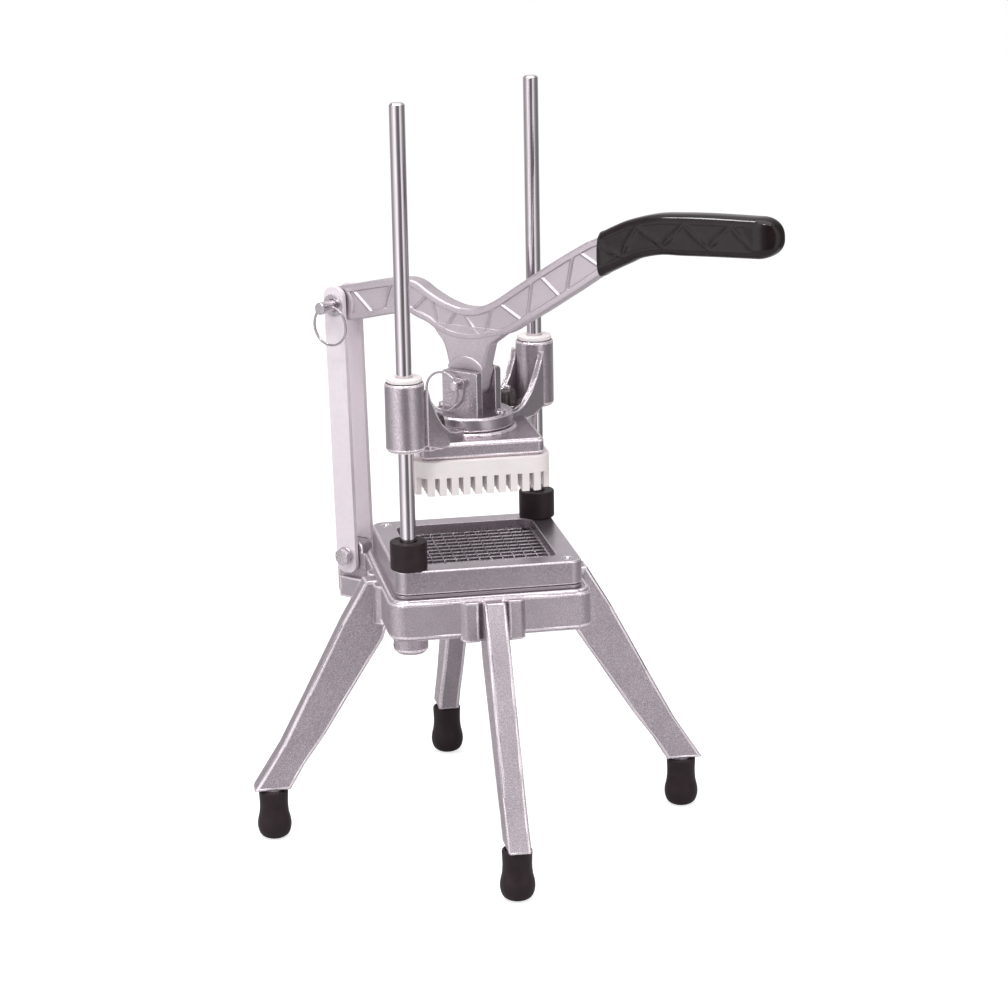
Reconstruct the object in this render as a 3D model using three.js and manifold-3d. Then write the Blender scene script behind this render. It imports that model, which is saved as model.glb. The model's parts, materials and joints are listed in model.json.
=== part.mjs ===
// Hand lever potato chip cutter.
// Four splayed cast legs carry a square blade frame. A toothed pusher block hangs from a
// cast head that slides on two upright guide rods. A long lever is pinned in the head's
// clevis, and a pair of link bars ties its tail to a lug on the base casting.
// Millimetres, +Z up. The pieces are drawn about an upright line through the middle of the
// blades, with the floor at nought, and the whole cutter is then moved along X so that its
// origin lies on the floor under the middle of its outline. The lever swings in the XZ
// plane with its grip toward +X, and the guide rods stand at plus and minus Y. The square
// pieces are turned an eighth of a turn, so their corners point along X and Y.

import * as THREE from 'three';
import { mergeVertices } from 'three/addons/utils/BufferGeometryUtils.js';
import Module from 'manifold-3d';

const wasm = await Module();
wasm.setup();

// Cut grid
const pitch = 9.525;
const bladeCount = 11;
const bladeThickness = 0.8;
const bladeHeight = 11;
const lapClearance = 0.25;
const railWidth = 5.4;
const slotWidth = 3.8;
const rimCell = 7.725;

// Clearances and overruns
const gap = 0.3;
const slideGap = 0.35;
const overrun = 2;

// Base casting
const castingSide = 164;
const castingCorner = 14;
const castingBottom = 187;
const castingHeight = 33.5;
const castingEdge = 3;
const chuteClearance = 0.25;
const bossRadius = 14;
const bossDrop = 13;
const bossEdge = 3;
const padWidth = 13;
const padProud = 5;
const padGroove = 2;
const padInset = 2;

// Legs, drawn as radius from the middle against height
const legWidth = 18;
const legTopRadius = 92;
const legFootOuter = 189;
const legFootInner = 159.5;
const legFootHeight = 43.2;
const legRootInner = 72;
const legBevel = 1.2;
const footInset = 16;
const footHeight = 41.8;
const footWaist = 11.6;
const footBulge = 14.2;
const footPlug = 8.6;
const footPlugDepth = 26;

// Link lug at the corner under the lever's tail
const lugWidth = 26;
const lugThickness = 15.6;
const lugOver = 11.5;
const lugCorner = 5;
const shelfWidth = 28;
const shelfDrop = 18.5;
const shelfThickness = 17.5;
const shelfPast = 7;

// Blade frame and clamp plate
const frameInset = 6.5;
const frameCorner = 10;
const frameHeight = 19.6;
const openingLedge = 1.75;
const openingCorner = 8;
const frameBevel = 1;
const pocketCorner = 12;
const bladeDrop = 7.9;
const clampThickness = 2.6;
const frameScrewRadius = 2.6;
const frameScrewHead = 4.2;
const frameScrewHeadHeight = 1.6;
const frameScrewLength = 30;
const frameScrewReach = 91;

// Guide rods, collars and set screws
const rodRadius = 6.15;
const rodSpread = 90.4;
const rodTop = 613.7;
const rodChamfer = 1.5;
const rodSeat = 3;
const collarRadius = 14.8;
const collarHeight = 22.4;
const collarBore = 6.9;
const collarEdge = 1.2;
const collarSlot = 1.6;
const setScrewRadius = 2;

// Head casting
const pivotOverPlate = 52.2;
const headPlateSide = 100;
const headPlateCorner = 6;
const headPlateHeight = 13.4;
const headPlateEdge = 2;
const hubRadius = 36;
const hubHeight = 2.5;
const sleeveRadius = 15.7;
const sleeveLift = 13.9;
const sleeveHeight = 55.1;
const sleeveEdge = 2.2;
const sleeveBore = 9;
const webThickness = 5;
const webTopInset = 7;
const webInner = 34;
const floorHeight = 6;

// Bushings
const bushFlangeRadius = 14.2;
const bushFlange = 3.8;
const bushLength = 16;
const bushLowerFlange = 1.8;

// Clevis
const discRadius = 33;
const discHeight = 11.6;
const discEdge = 1.2;
const earWidth = 34;
const earThickness = 7.4;
const earGap = 18.6;
const earOver = 10.5;
const earCorner = 2.5;
const clevisScrewRadius = 2.6;
const clevisScrewHead = 4.8;
const clevisScrewHeadHeight = 3;
const clevisScrewLength = 10;
const clevisScrewReach = 27.5;

// Pusher block
const pusherClearance = 0.75;
const pusherCorner = 16;
const pusherBody = 13.2;
const toothLength = 14.6;
const studRadius = 3;
const studReach = 50.5;
const studDepth = 9;
const studProud = 2;
const nutRadius = 7.5;
const nutHeight = 13.2;
const nutEdge = 3.2;
const nutGroove = 0.7;
const nutGrooves = 10;
const washerRadius = 8.6;
const washerThickness = 1.6;

// Pivots of the linkage at rest, C lever to head, A lever to link, B link to base
const pivotHeight = 378.5;
const tailReach = 128.8;
const tailRise = 50.7;
const footPivotPast = 8.03;
const footPivotDrop = 5.5;

// Lever
const leverThickness = 15;
const leverDepth = 30;
const leverEdge = 2.6;
const leverRim = 6;
const pocketDepth = 1.6;
const ribWidth = 1.5;
const tongueRadius = 13.4;
const bossThickness = 17.2;
const bossDisc = 21.5;
const gripReach = 129.3;
const gripRise = 116.2;
const coreReach = 268;
const gripEndRise = 142.2;
const gripCap = 19.6;
const gripThickness = 24;
const gripWall = 3.3;

// Link bars
const barWidth = 19.8;
const barThickness = 4.1;
const barGap = 17.8;
const barOverhang = 14.8;
const barCorner = 8;

// Pins, bolt and rings
const tailPinRadius = 5;
const tailPinReach = 32;
const crossPinRadius = 4;
const crossPinReach = 26;
const crossPinFar = 21;
const pinHoleSetback = 4.6;
const pinHoleRadius = 1.6;
const pinEdge = 0.7;
const pinWasherRadius = 9.2;
const pinWasherThickness = 1.4;
const tailRingRadius = 16.2;
const tailRingAngle = -1.1;
const crossRingRadius = 15.6;
const crossRingAngle = -2.705;
const ringWire = 0.85;
const boltRadius = 4;
const boltHeadFlats = 13;
const boltHeadHeight = 5;
const boltFlangeRadius = 7.6;
const boltFlange = 1.3;
const nutFlats = 13;
const footNutHeight = 6.5;
const boltProud = 2;

// Round pieces: facets around, fine for large and coarse for small ones
const fine = 24;
const round = 16;
const coarse = 10;

// Heights that follow
const castingTop = castingBottom + castingHeight;
const setScrewHeight = castingBottom - bossDrop / 2;
const footPivotHeight = castingTop - footPivotDrop;
const clampBottom = castingTop + gap;
const clampTop = clampBottom + clampThickness;
const frameBottom = clampTop + gap;
const frameTop = frameBottom + frameHeight;
const bladeTop = frameTop - bladeDrop;
const bladeBottom = bladeTop - bladeHeight;
const footRadius = legFootOuter - footInset;
const frameSide = castingSide - 2 * frameInset;
const footPivotReach = castingSide * Math.SQRT1_2 + footPivotPast;
const gridOpening = (bladeCount - 1) * pitch + bladeThickness + 2 * rimCell;
const chuteSide = gridOpening + 2 * chuteClearance;
const frameOpening = gridOpening + 2 * openingLedge;
const pusherSide = gridOpening - 2 * pusherClearance;
const railInner = gridOpening / 2;
const pocketSide = 2 * (railInner + railWidth + 2 * gap);
const lugTop = footPivotHeight + lugOver;
const shelfTop = footPivotHeight - shelfDrop;
const shelfBottom = shelfTop - shelfThickness;
const shelfReach = footPivotReach + shelfPast;
const gripEndReach = coreReach + gripCap;
const headRest = pivotHeight - pivotOverPlate;
const headTop = headRest + headPlateHeight;
const pusherTop = headRest - gap;
const sleeveBottom = headRest + sleeveLift;
const earTop = pivotHeight + earOver;
const discBottom = headTop + hubHeight + gap;
const discTop = discBottom + discHeight;
const sleeveTop = sleeveBottom + sleeveHeight;
const floorTop = sleeveBottom + floorHeight;
const pivotA = [-tailReach, pivotHeight + tailRise];
const pivotB = [-footPivotReach, footPivotHeight];
const EIGHTH = Math.PI / 4;
const QUARTER = Math.PI / 2;
const TURN = Math.PI * 2;

// Materials
const material = (color, roughness, metalness) =>
  new THREE.MeshStandardMaterial({ color, roughness, metalness });
const castAluminium = material(0xa9a7ab, 0.5, 0.85);
const polishedAluminium = material(0xc9c7cb, 0.28, 0.95);
const brightSteel = material(0xb9b8ba, 0.2, 1);
const bladeSteel = material(0x9c9b9e, 0.3, 1);
const whiteBar = material(0xe4e2e4, 0.4, 0.5);
const blackRubber = material(0x241f20, 0.6, 0);
const gripVinyl = material(0x231d1e, 0.16, 0);
const whiteNylon = material(0xf1eeec, 0.45, 0);
const darkNut = material(0x4a4245, 0.35, 0.7);

// Turns a closed geometry into a solid that can be joined and cut
function solid(geometry) {
  const bare = geometry.clone();
  bare.deleteAttribute('normal');
  bare.deleteAttribute('uv');
  const merged = mergeVertices(bare, 1e-4);
  const mesh = new wasm.Mesh({
    numProp: 3,
    vertProperties: Float32Array.from(merged.attributes.position.array),
    triVerts: Uint32Array.from(merged.index.array),
  });
  mesh.merge();
  return new wasm.Manifold(mesh);
}

// Gives the geometry of a solid back, with faces that lie in one plane merged
function surface(body) {
  const mesh = body.asOriginal().getMesh();
  const geometry = new THREE.BufferGeometry();
  geometry.setAttribute('position', new THREE.BufferAttribute(mesh.vertProperties, 3));
  geometry.setIndex(new THREE.BufferAttribute(mesh.triVerts, 1));
  return geometry;
}

const join = (bodies) => bodies.reduce((sum, body) => sum.add(body));
const cut = (body, tools) => tools.reduce((rest, tool) => rest.subtract(tool), body);

// A closed box from its middle and its sizes
const block = (w, d, h, x, y, z) => solid(new THREE.BoxGeometry(w, d, h).translate(x, y, z));

// A prism of a shape drawn in plan, standing from one height to another
function plan(shape, bottom, top, segments = 6) {
  const settings = { depth: top - bottom, bevelEnabled: false, curveSegments: segments };
  return solid(new THREE.ExtrudeGeometry(shape, settings).translate(0, 0, bottom));
}

// The same prism with all its edges chamfered
function beveledPlan(shape, bottom, top, bevel, segments = 6) {
  const settings = {
    depth: top - bottom - 2 * bevel, bevelEnabled: true, bevelThickness: bevel,
    bevelSize: bevel, bevelOffset: -bevel, bevelSegments: 1, curveSegments: segments,
  };
  return solid(new THREE.ExtrudeGeometry(shape, settings).translate(0, 0, bottom + bevel));
}

// A plate drawn in the lever's plane, between two places across it
function side(shape, from, to, segments = 10) {
  const settings = { depth: to - from, bevelEnabled: false, curveSegments: segments };
  return solid(new THREE.ExtrudeGeometry(shape, settings).rotateX(QUARTER).translate(0, to, 0));
}

// A rectangle with round corners around the middle
function roundedRectangle(w, h, r, x = 0, y = 0) {
  const shape = new THREE.Shape();
  shape.moveTo(x + w / 2, y - h / 2 + r);
  shape.absarc(x + w / 2 - r, y + h / 2 - r, r, 0, QUARTER, false);
  shape.absarc(x - w / 2 + r, y + h / 2 - r, r, QUARTER, 2 * QUARTER, false);
  shape.absarc(x - w / 2 + r, y - h / 2 + r, r, 2 * QUARTER, 3 * QUARTER, false);
  shape.absarc(x + w / 2 - r, y - h / 2 + r, r, 3 * QUARTER, 4 * QUARTER, false);
  return shape;
}

// A revolved solid about the upright axis, from rows of radius and height
function turned(rows, segments = round) {
  const points = rows.map(([r, z]) => new THREE.Vector2(r, z));
  return new THREE.LatheGeometry(points, segments).rotateX(QUARTER);
}

const upright = (rows, x, y, segments) => solid(turned(rows, segments).translate(x, y, 0));

// The same about an axis along Y through a point of the lever's plane, rows of radius and y
const crosswise = (rows, [x, z], segments) =>
  solid(turned(rows, segments).rotateX(-QUARTER).translate(x, 0, z));

const rod = (r, bottom, top) => [[0, bottom], [r, bottom], [r, top], [0, top]];
const ringRows = (inner, outer, bottom, top) =>
  [[inner, bottom], [outer, bottom], [outer, top], [inner, top], [inner, bottom]];

// Turns a solid drawn square to the axes so that its corners point along them
function diagonal(body) {
  return solid(surface(body).rotateZ(EIGHTH));
}

// The four-way pattern of the legs
const quarters = [0, 1, 2, 3];
const sides = [-1, 1];

const cutter = new THREE.Group();

function piece(name, body, finish, parent = cutter) {
  const mesh = new THREE.Mesh(surface(body), finish);
  mesh.name = name;
  parent.add(mesh);
  return mesh;
}

// Leg outline: the outer edge bows a little on its way down, the foot end is cut level
function legShape() {
  const drop = castingTop - castingEdge - legFootHeight;
  const reach = legFootOuter - legTopRadius;
  const outerShares = [[0.21, 0.2], [0.52, 0.535], [0.75, 0.78]];
  const innerDrop = castingBottom + castingEdge - legFootHeight;
  const innerReach = legFootInner - legRootInner;
  const innerShares = [[0.86, 0.142], [0.66, 0.306], [0.3, 0.646], [0.08, 0.847]];
  const shape = new THREE.Shape();
  shape.moveTo(legRootInner, castingTop - castingEdge);
  shape.lineTo(legTopRadius, castingTop - castingEdge);
  for (const [out, down] of outerShares) {
    shape.lineTo(legTopRadius + out * reach, castingTop - castingEdge - down * drop);
  }
  shape.lineTo(legFootOuter, legFootHeight);
  shape.lineTo(legFootInner, legFootHeight);
  for (const [out, up] of innerShares) {
    shape.lineTo(legRootInner + out * innerReach, legFootHeight + up * innerDrop);
  }
  shape.lineTo(legRootInner, castingBottom + castingEdge);
  return shape;
}

// One leg in the plane of X and Z, with chamfered long edges
function leg() {
  const settings = {
    depth: legWidth - 2 * legBevel, bevelEnabled: true, bevelThickness: legBevel,
    bevelSize: legBevel, bevelOffset: -legBevel, bevelSegments: 1,
  };
  const blank = new THREE.ExtrudeGeometry(legShape(), settings);
  return solid(blank.rotateX(QUARTER).translate(0, legWidth / 2 - legBevel, 0));
}

// Cast pad that flanks a leg's root on the side of the box, with a groove on either side of the leg
function rootPad() {
  const face = castingSide / 2;
  const start = legWidth / 2;
  const end = start + padGroove + padWidth;
  const half = [
    [face + padProud * 0.2, start], [face + padProud * 0.5, start + padGroove],
    [face + padProud, start + padGroove * 1.8], [face + padProud, end - padProud * 0.6],
    [face + padProud * 0.7, end - padProud * 0.2], [face, end + padProud * 0.4],
    [face - padProud, end + padProud * 0.4],
  ];
  const mirrored = half.map(([x, y]) => [x, -y]).reverse();
  const shape = new THREE.Shape([...mirrored, ...half].map(([x, y]) => new THREE.Vector2(x, y)));
  return plan(shape, castingBottom - padInset, castingTop - castingEdge);
}

function baseCasting() {
  const box = beveledPlan(roundedRectangle(castingSide, castingSide, castingCorner),
    castingBottom, castingTop, castingEdge, 3);
  const parts = [box];
  for (const quarter of quarters) {
    parts.push(solid(surface(join([leg(), rootPad()])).rotateZ(quarter * QUARTER)));
  }
  const square = cut(join(parts), [
    plan(roundedRectangle(chuteSide, chuteSide, openingCorner),
      castingBottom - overrun, castingTop + overrun, 1),
  ]);
  const bossBottom = castingBottom - bossDrop;
  const bosses = sides.map((hand) => upright([
    [0, bossBottom], [bossRadius - bossEdge, bossBottom], [bossRadius, bossBottom + bossEdge],
    [bossRadius, castingTop - castingEdge], [0, castingTop - castingEdge],
  ], 0, hand * rodSpread, fine));
  const shelf = block(shelfReach - chuteSide * 0.75, shelfWidth, shelfThickness,
    -(shelfReach + chuteSide * 0.75) / 2, 0, (shelfTop + shelfBottom) / 2);
  const lugShape = roundedRectangle(lugWidth, lugTop - shelfBottom, lugCorner,
    -footPivotReach, (lugTop + shelfBottom) / 2);
  const lug = side(lugShape, -lugThickness / 2, lugThickness / 2, 4);
  const neck = block(footPivotReach - chuteSide * 0.75, lugThickness, castingHeight - castingEdge,
    -(footPivotReach + chuteSide * 0.75) / 2, 0, castingBottom + (castingHeight - castingEdge) / 2);
  const body = join([diagonal(square), ...bosses, shelf, lug, neck]);
  const rodSockets = sides.map((hand) => upright(
    rod(rodRadius + slideGap, bossBottom + rodSeat, castingTop + overrun), 0, hand * rodSpread, round));
  const screwHoles = sides.map((hand) => upright(
    rod(frameScrewRadius + gap, frameTop - frameScrewLength - gap, castingTop + overrun),
    hand * frameScrewReach, 0, coarse));
  const setHoles = sides.map((hand) => setScrewBody(hand, gap, overrun));
  const pivotHole = crosswise(rod(boltRadius + gap, -shelfWidth, shelfWidth), pivotB, round);
  return cut(body, [...rodSockets, ...screwHoles, ...setHoles, pivotHole]);
}

// A set screw lies square to its rod in the boss below the casting
function setScrewBody(hand, clearance, outward) {
  const length = bossRadius - rodRadius - slideGap - gap + outward;
  const start = rodRadius + slideGap + (outward ? -gap : gap);
  const blank = new THREE.CylinderGeometry(setScrewRadius + clearance, setScrewRadius + clearance,
    length, coarse / 2);
  const turnedBlank = blank.rotateZ(QUARTER).translate(start + length / 2, 0, 0);
  return solid(turnedBlank.rotateZ(-EIGHTH * 3).translate(0, hand * rodSpread, setScrewHeight));
}

function setScrew(hand) {
  const socket = new THREE.CylinderGeometry(setScrewRadius / 2, setScrewRadius / 2, setScrewRadius, 6);
  const placed = socket.rotateZ(QUARTER).translate(bossRadius, 0, 0).rotateZ(-EIGHTH * 3);
  return cut(setScrewBody(hand, 0, 0), [solid(placed.translate(0, hand * rodSpread, setScrewHeight))]);
}

// Rubber foot: a cup on the leg's plug, waisted, with a bulging tread
function rubberFoot() {
  const tread = footBulge * 0.42;
  return [
    [0, 0], [footBulge * 0.55, 0], [footBulge * 0.85, tread * 0.45], [footBulge, tread * 1.7],
    [footBulge * 0.97, tread * 2.2], [footWaist, footHeight * 0.5], [footWaist * 0.99, footHeight * 0.8],
    [footWaist * 1.06, footHeight], [footPlug + gap, footHeight],
    [footPlug + gap, footHeight - footPlugDepth], [0, footHeight - footPlugDepth],
  ];
}

function footPlugBody() {
  return rod(footPlug, footHeight - footPlugDepth + gap, legFootHeight + legBevel);
}

function bladeFrame() {
  const blank = beveledPlan(roundedRectangle(frameSide, frameSide, frameCorner),
    frameBottom, frameTop, frameBevel, 3);
  const opening = roundedRectangle(frameOpening, frameOpening, openingCorner);
  const square = cut(blank, [
    plan(opening, frameBottom - overrun, frameTop + overrun, 2),
    plan(roundedRectangle(pocketSide, pocketSide, pocketCorner), frameBottom - overrun, bladeTop + gap, 1),
  ]);
  const rodHoles = sides.map((hand) => upright(
    rod(rodRadius + slideGap, frameBottom - overrun, frameTop + overrun), 0, hand * rodSpread, round));
  const screwHoles = sides.flatMap((hand) => [
    upright(rod(frameScrewRadius + gap, frameBottom - overrun, frameTop + overrun),
      hand * frameScrewReach, 0, coarse),
    upright(rod(frameScrewHead + gap, frameTop - frameScrewHeadHeight, frameTop + overrun),
      hand * frameScrewReach, 0, coarse),
  ]);
  return cut(diagonal(square), [...rodHoles, ...screwHoles]);
}

function clampPlate() {
  const square = cut(plan(roundedRectangle(frameSide, frameSide, frameCorner), clampBottom, clampTop, 3), [
    plan(roundedRectangle(gridOpening, gridOpening, openingCorner),
      clampBottom - overrun, clampTop + overrun, 1),
  ]);
  const rodHoles = sides.map((hand) => upright(
    rod(rodRadius + slideGap, clampBottom - overrun, clampTop + overrun), 0, hand * rodSpread, round));
  const screwHoles = sides.map((hand) => upright(
    rod(frameScrewRadius + gap, clampBottom - overrun, clampTop + overrun),
    hand * frameScrewReach, 0, coarse));
  return cut(diagonal(square), [...rodHoles, ...screwHoles]);
}

// Places of the blades across the grid
const bladePlaces = Array.from({ length: bladeCount }, (_, i) => (i - (bladeCount - 1) / 2) * pitch);

// A full blade on edge with a notch from the top at each crossing, drawn along its length
function notchedBladeShape() {
  const half = railInner + railWidth / 2;
  const middle = (bladeTop + bladeBottom) / 2 - lapClearance;
  const notch = bladeThickness / 2 + lapClearance;
  const shape = new THREE.Shape();
  shape.moveTo(-half, bladeBottom);
  shape.lineTo(-half, bladeTop);
  for (const place of bladePlaces) {
    shape.lineTo(place - notch, bladeTop);
    shape.lineTo(place - notch, middle);
    shape.lineTo(place + notch, middle);
    shape.lineTo(place + notch, bladeTop);
  }
  shape.lineTo(half, bladeTop);
  shape.lineTo(half, bladeBottom);
  return shape;
}

// A half height blade that lies in the notches of the full ones
function slimBladeShape() {
  const half = railInner + railWidth / 2;
  const middle = (bladeTop + bladeBottom) / 2;
  return new THREE.Shape([
    new THREE.Vector2(-half, middle), new THREE.Vector2(half, middle),
    new THREE.Vector2(half, bladeTop), new THREE.Vector2(-half, bladeTop),
  ]);
}

// A set of parallel blades held at both ends by crimped rails
function bladeSet(shape, angle) {
  const strips = bladePlaces.map((place) =>
    side(shape, place - bladeThickness / 2, place + bladeThickness / 2));
  const railLength = (bladeCount - 1) * pitch + bladeThickness * 5;
  const rails = sides.map((hand) => block(railWidth, railLength, bladeHeight,
    hand * (railInner + railWidth / 2 + gap), 0, (bladeTop + bladeBottom) / 2));
  return solid(surface(join([...strips, ...rails])).rotateZ(angle));
}

function frameScrew(hand) {
  const bottom = frameTop - frameScrewLength;
  const seat = frameTop - frameScrewHeadHeight + gap;
  return upright([
    [0, bottom], [frameScrewRadius, bottom], [frameScrewRadius, seat], [frameScrewHead, seat],
    [frameScrewHead, frameTop - frameBevel / 2], [frameScrewHead - frameBevel / 2, frameTop], [0, frameTop],
  ], hand * frameScrewReach, 0, coarse);
}

function guideRod(hand) {
  const bottom = castingBottom - bossDrop + rodSeat + gap;
  return upright([
    [0, bottom], [rodRadius, bottom], [rodRadius, rodTop - rodChamfer],
    [rodRadius - rodChamfer, rodTop], [0, rodTop],
  ], 0, hand * rodSpread, round);
}

function stopCollar(hand) {
  const bottom = frameTop + gap;
  const top = bottom + collarHeight;
  const blank = upright([
    [collarBore, bottom], [collarRadius - collarEdge, bottom], [collarRadius, bottom + collarEdge],
    [collarRadius, top - collarEdge], [collarRadius - collarEdge, top], [collarBore, top],
    [collarBore, bottom],
  ], 0, hand * rodSpread, fine);
  const slot = block(collarRadius, collarSlot, collarSlot, -collarRadius / 2, hand * rodSpread, top);
  return cut(blank, [slot]);
}

// Web between a sleeve and the hub: its top edge falls in a hollow curve
function webShape() {
  const outer = rodSpread - sleeveBore;
  const start = sleeveTop - webTopInset;
  const fall = start - floorTop;
  const run = outer - webInner;
  const curveShares = [[0.03, 0], [0.08, 0.16], [0.23, 0.48], [0.4, 0.736], [0.62, 0.93], [0.79, 0.99]];
  const shape = new THREE.Shape();
  shape.moveTo(outer, sleeveBottom + webThickness / 2);
  shape.lineTo(outer, start);
  for (const [along, down] of curveShares) {
    shape.lineTo(outer - along * run, start - down * fall);
  }
  shape.lineTo(webInner, floorTop);
  shape.lineTo(webInner, headTop - hubHeight);
  shape.lineTo(outer - run * 0.35, headTop - hubHeight);
  return shape;
}

// One arm of the head: two webs, the floor of the channel between them and the sleeve
function headArm(hand) {
  const across = sleeveRadius - webThickness / 2;
  const webs = sides.map((offset) => {
    const settings = { depth: webThickness, bevelEnabled: false };
    const blank = new THREE.ExtrudeGeometry(webShape(), settings).rotateX(QUARTER).rotateZ(QUARTER);
    const seated = blank.translate(offset * across - webThickness / 2, 0, 0);
    return solid(hand > 0 ? seated : seated.rotateZ(2 * QUARTER));
  });
  const floorOuter = rodSpread - collarRadius - gap;
  const floor = block(2 * across, floorOuter - webInner, floorTop - headTop + hubHeight,
    0, hand * (floorOuter + webInner) / 2, (floorTop + headTop - hubHeight) / 2);
  const sleeve = upright([
    [0, sleeveBottom], [sleeveRadius - sleeveEdge, sleeveBottom], [sleeveRadius, sleeveBottom + sleeveEdge],
    [sleeveRadius, sleeveTop - sleeveEdge / 2], [sleeveRadius - sleeveEdge / 2, sleeveTop], [0, sleeveTop],
  ], 0, hand * rodSpread, fine);
  return join([...webs, floor, sleeve]);
}

function headCasting() {
  const plate = beveledPlan(roundedRectangle(headPlateSide, headPlateSide, headPlateCorner),
    headRest, headTop, headPlateEdge, 4);
  const hub = upright([
    [0, headRest], [hubRadius, headRest], [hubRadius, headTop + hubHeight / 2],
    [hubRadius - hubHeight / 2, headTop + hubHeight], [0, headTop + hubHeight],
  ], 0, 0, fine);
  const body = join([diagonal(plate), hub, headArm(-1), headArm(1)]);
  const bores = sides.flatMap((hand) => [
    upright(rod(sleeveBore, sleeveBottom - overrun, sleeveTop + overrun), 0, hand * rodSpread, round),
    upright(rod(bushFlangeRadius + gap, sleeveBottom - overrun, sleeveBottom + bushLowerFlange + gap),
      0, hand * rodSpread, round),
  ]);
  const studHoles = sides.map((hand) => upright(
    rod(studRadius + gap, headRest - overrun, floorTop + overrun), 0, hand * studReach, coarse));
  const clevisHoles = sides.map((hand) => upright(
    rod(clevisScrewRadius + gap, discTop - clevisScrewLength - gap, discTop + overrun),
    hand * clevisScrewReach, 0, coarse));
  const discSeat = upright(rod(discRadius + gap, discBottom - gap, discTop + overrun), 0, 0, fine);
  return cut(body, [...bores, ...studHoles, ...clevisHoles, discSeat]);
}

// Flanged nylon bushing, the upper ones stand proud of the sleeve, the lower ones are let in
function bushing(hand, upper) {
  const bore = rodRadius + slideGap;
  const barrel = sleeveBore - gap;
  const seat = upper ? sleeveTop + gap : sleeveBottom + bushLowerFlange;
  const end = upper ? seat + bushFlange : sleeveBottom;
  const tip = upper ? seat - bushLength : seat + bushLength;
  const rows = [
    [bore, tip], [barrel, tip], [barrel, seat], [bushFlangeRadius, seat], [bushFlangeRadius, end],
    [bore, end], [bore, tip],
  ];
  return upright(upper ? rows : rows.reverse(), 0, hand * rodSpread, round);
}

function clevis() {
  const disc = upright([
    [0, discBottom], [discRadius - discEdge, discBottom], [discRadius, discBottom + discEdge],
    [discRadius, discTop - discEdge], [discRadius - discEdge, discTop], [0, discTop],
  ], 0, 0, fine);
  const earShape = roundedRectangle(earWidth, earTop - discBottom - discEdge, earCorner,
    0, (earTop + discBottom + discEdge) / 2);
  const ears = sides.map((hand) => {
    const inner = hand * earGap / 2;
    const outer = hand * (earGap / 2 + earThickness);
    return side(earShape, Math.min(inner, outer), Math.max(inner, outer), 4);
  });
  const pinHole = crosswise(rod(crossPinRadius + gap, -discRadius, discRadius), [0, pivotHeight], round);
  const screwHoles = sides.map((hand) => upright(
    rod(clevisScrewRadius + gap, discBottom - overrun, discTop + overrun),
    hand * clevisScrewReach, 0, coarse));
  return cut(join([disc, ...ears]), [pinHole, ...screwHoles]);
}

function clevisScrew(hand) {
  const seat = discTop + gap;
  const bottom = discTop - clevisScrewLength;
  return upright([
    [0, bottom], [clevisScrewRadius, bottom], [clevisScrewRadius, seat], [clevisScrewHead, seat],
    [clevisScrewHead, seat + clevisScrewHeadHeight / 2],
    [clevisScrewHead * 0.7, seat + clevisScrewHeadHeight], [0, seat + clevisScrewHeadHeight],
  ], hand * clevisScrewReach, 0, coarse);
}

// Pusher block: crossing slots leave rows of square teeth, with none on the round corners
function pusherBlock() {
  const root = pusherTop - pusherBody;
  const bottom = root - toothLength;
  const shape = roundedRectangle(pusherSide, pusherSide, pusherCorner);
  const body = block(pusherSide, pusherSide, pusherBody, 0, 0, root + pusherBody / 2);
  const starts = [-pusherSide / 2, ...bladePlaces.map((place) => place + slotWidth / 2)];
  const ends = [...bladePlaces.map((place) => place - slotWidth / 2), pusherSide / 2];
  const atEnd = (i) => i === 0 || i === bladeCount;
  const squares = starts.flatMap((x, i) => starts.filter((_, j) => !(atEnd(i) && atEnd(j))).map((y) => {
    const far = ends[starts.indexOf(y)];
    return new THREE.Shape([
      new THREE.Vector2(x, y), new THREE.Vector2(ends[i], y),
      new THREE.Vector2(ends[i], far), new THREE.Vector2(x, far),
    ]);
  }));
  const teeth = plan(squares, bottom, root + gap);
  const blank = body.add(teeth).intersect(plan(shape, bottom - overrun, pusherTop + overrun, 4));
  const holes = sides.map((hand) => upright(
    rod(studRadius + gap, pusherTop - studDepth, pusherTop + overrun), 0, hand * studReach, coarse));
  return cut(diagonal(blank), holes);
}

function pusherStud(hand) {
  const top = floorTop + gap + washerThickness + gap + nutHeight + studProud;
  return upright(rod(studRadius, pusherTop - studDepth + gap, top), 0, hand * studReach, coarse);
}

function pusherWasher(hand) {
  const bottom = floorTop + gap;
  return upright(ringRows(studRadius + gap, washerRadius, bottom, bottom + washerThickness),
    0, hand * studReach, coarse);
}

// Thumb nut, fluted around its side, with a chamfered crown
function thumbNut(hand) {
  const bottom = floorTop + gap + washerThickness + gap;
  const top = bottom + nutHeight;
  const shape = new THREE.Shape(Array.from({ length: 2 * nutGrooves }, (_, i) => {
    const reach = i % 2 ? nutRadius : nutRadius - nutGroove;
    const angle = i * Math.PI / nutGrooves;
    return new THREE.Vector2(reach * Math.cos(angle), reach * Math.sin(angle));
  }));
  const fluted = solid(surface(plan(shape, bottom, top - nutEdge)).translate(0, hand * studReach, 0));
  const crown = upright([
    [0, bottom + nutEdge], [nutRadius - nutGroove, bottom + nutEdge],
    [nutRadius - nutGroove, top - nutEdge * 0.5],
    [nutRadius - nutEdge, top], [0, top],
  ], 0, hand * studReach, coarse);
  const bore = upright(rod(studRadius + gap, bottom - overrun, top + overrun), 0, hand * studReach, coarse);
  return cut(join([fluted, crown]), [bore]);
}

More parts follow.
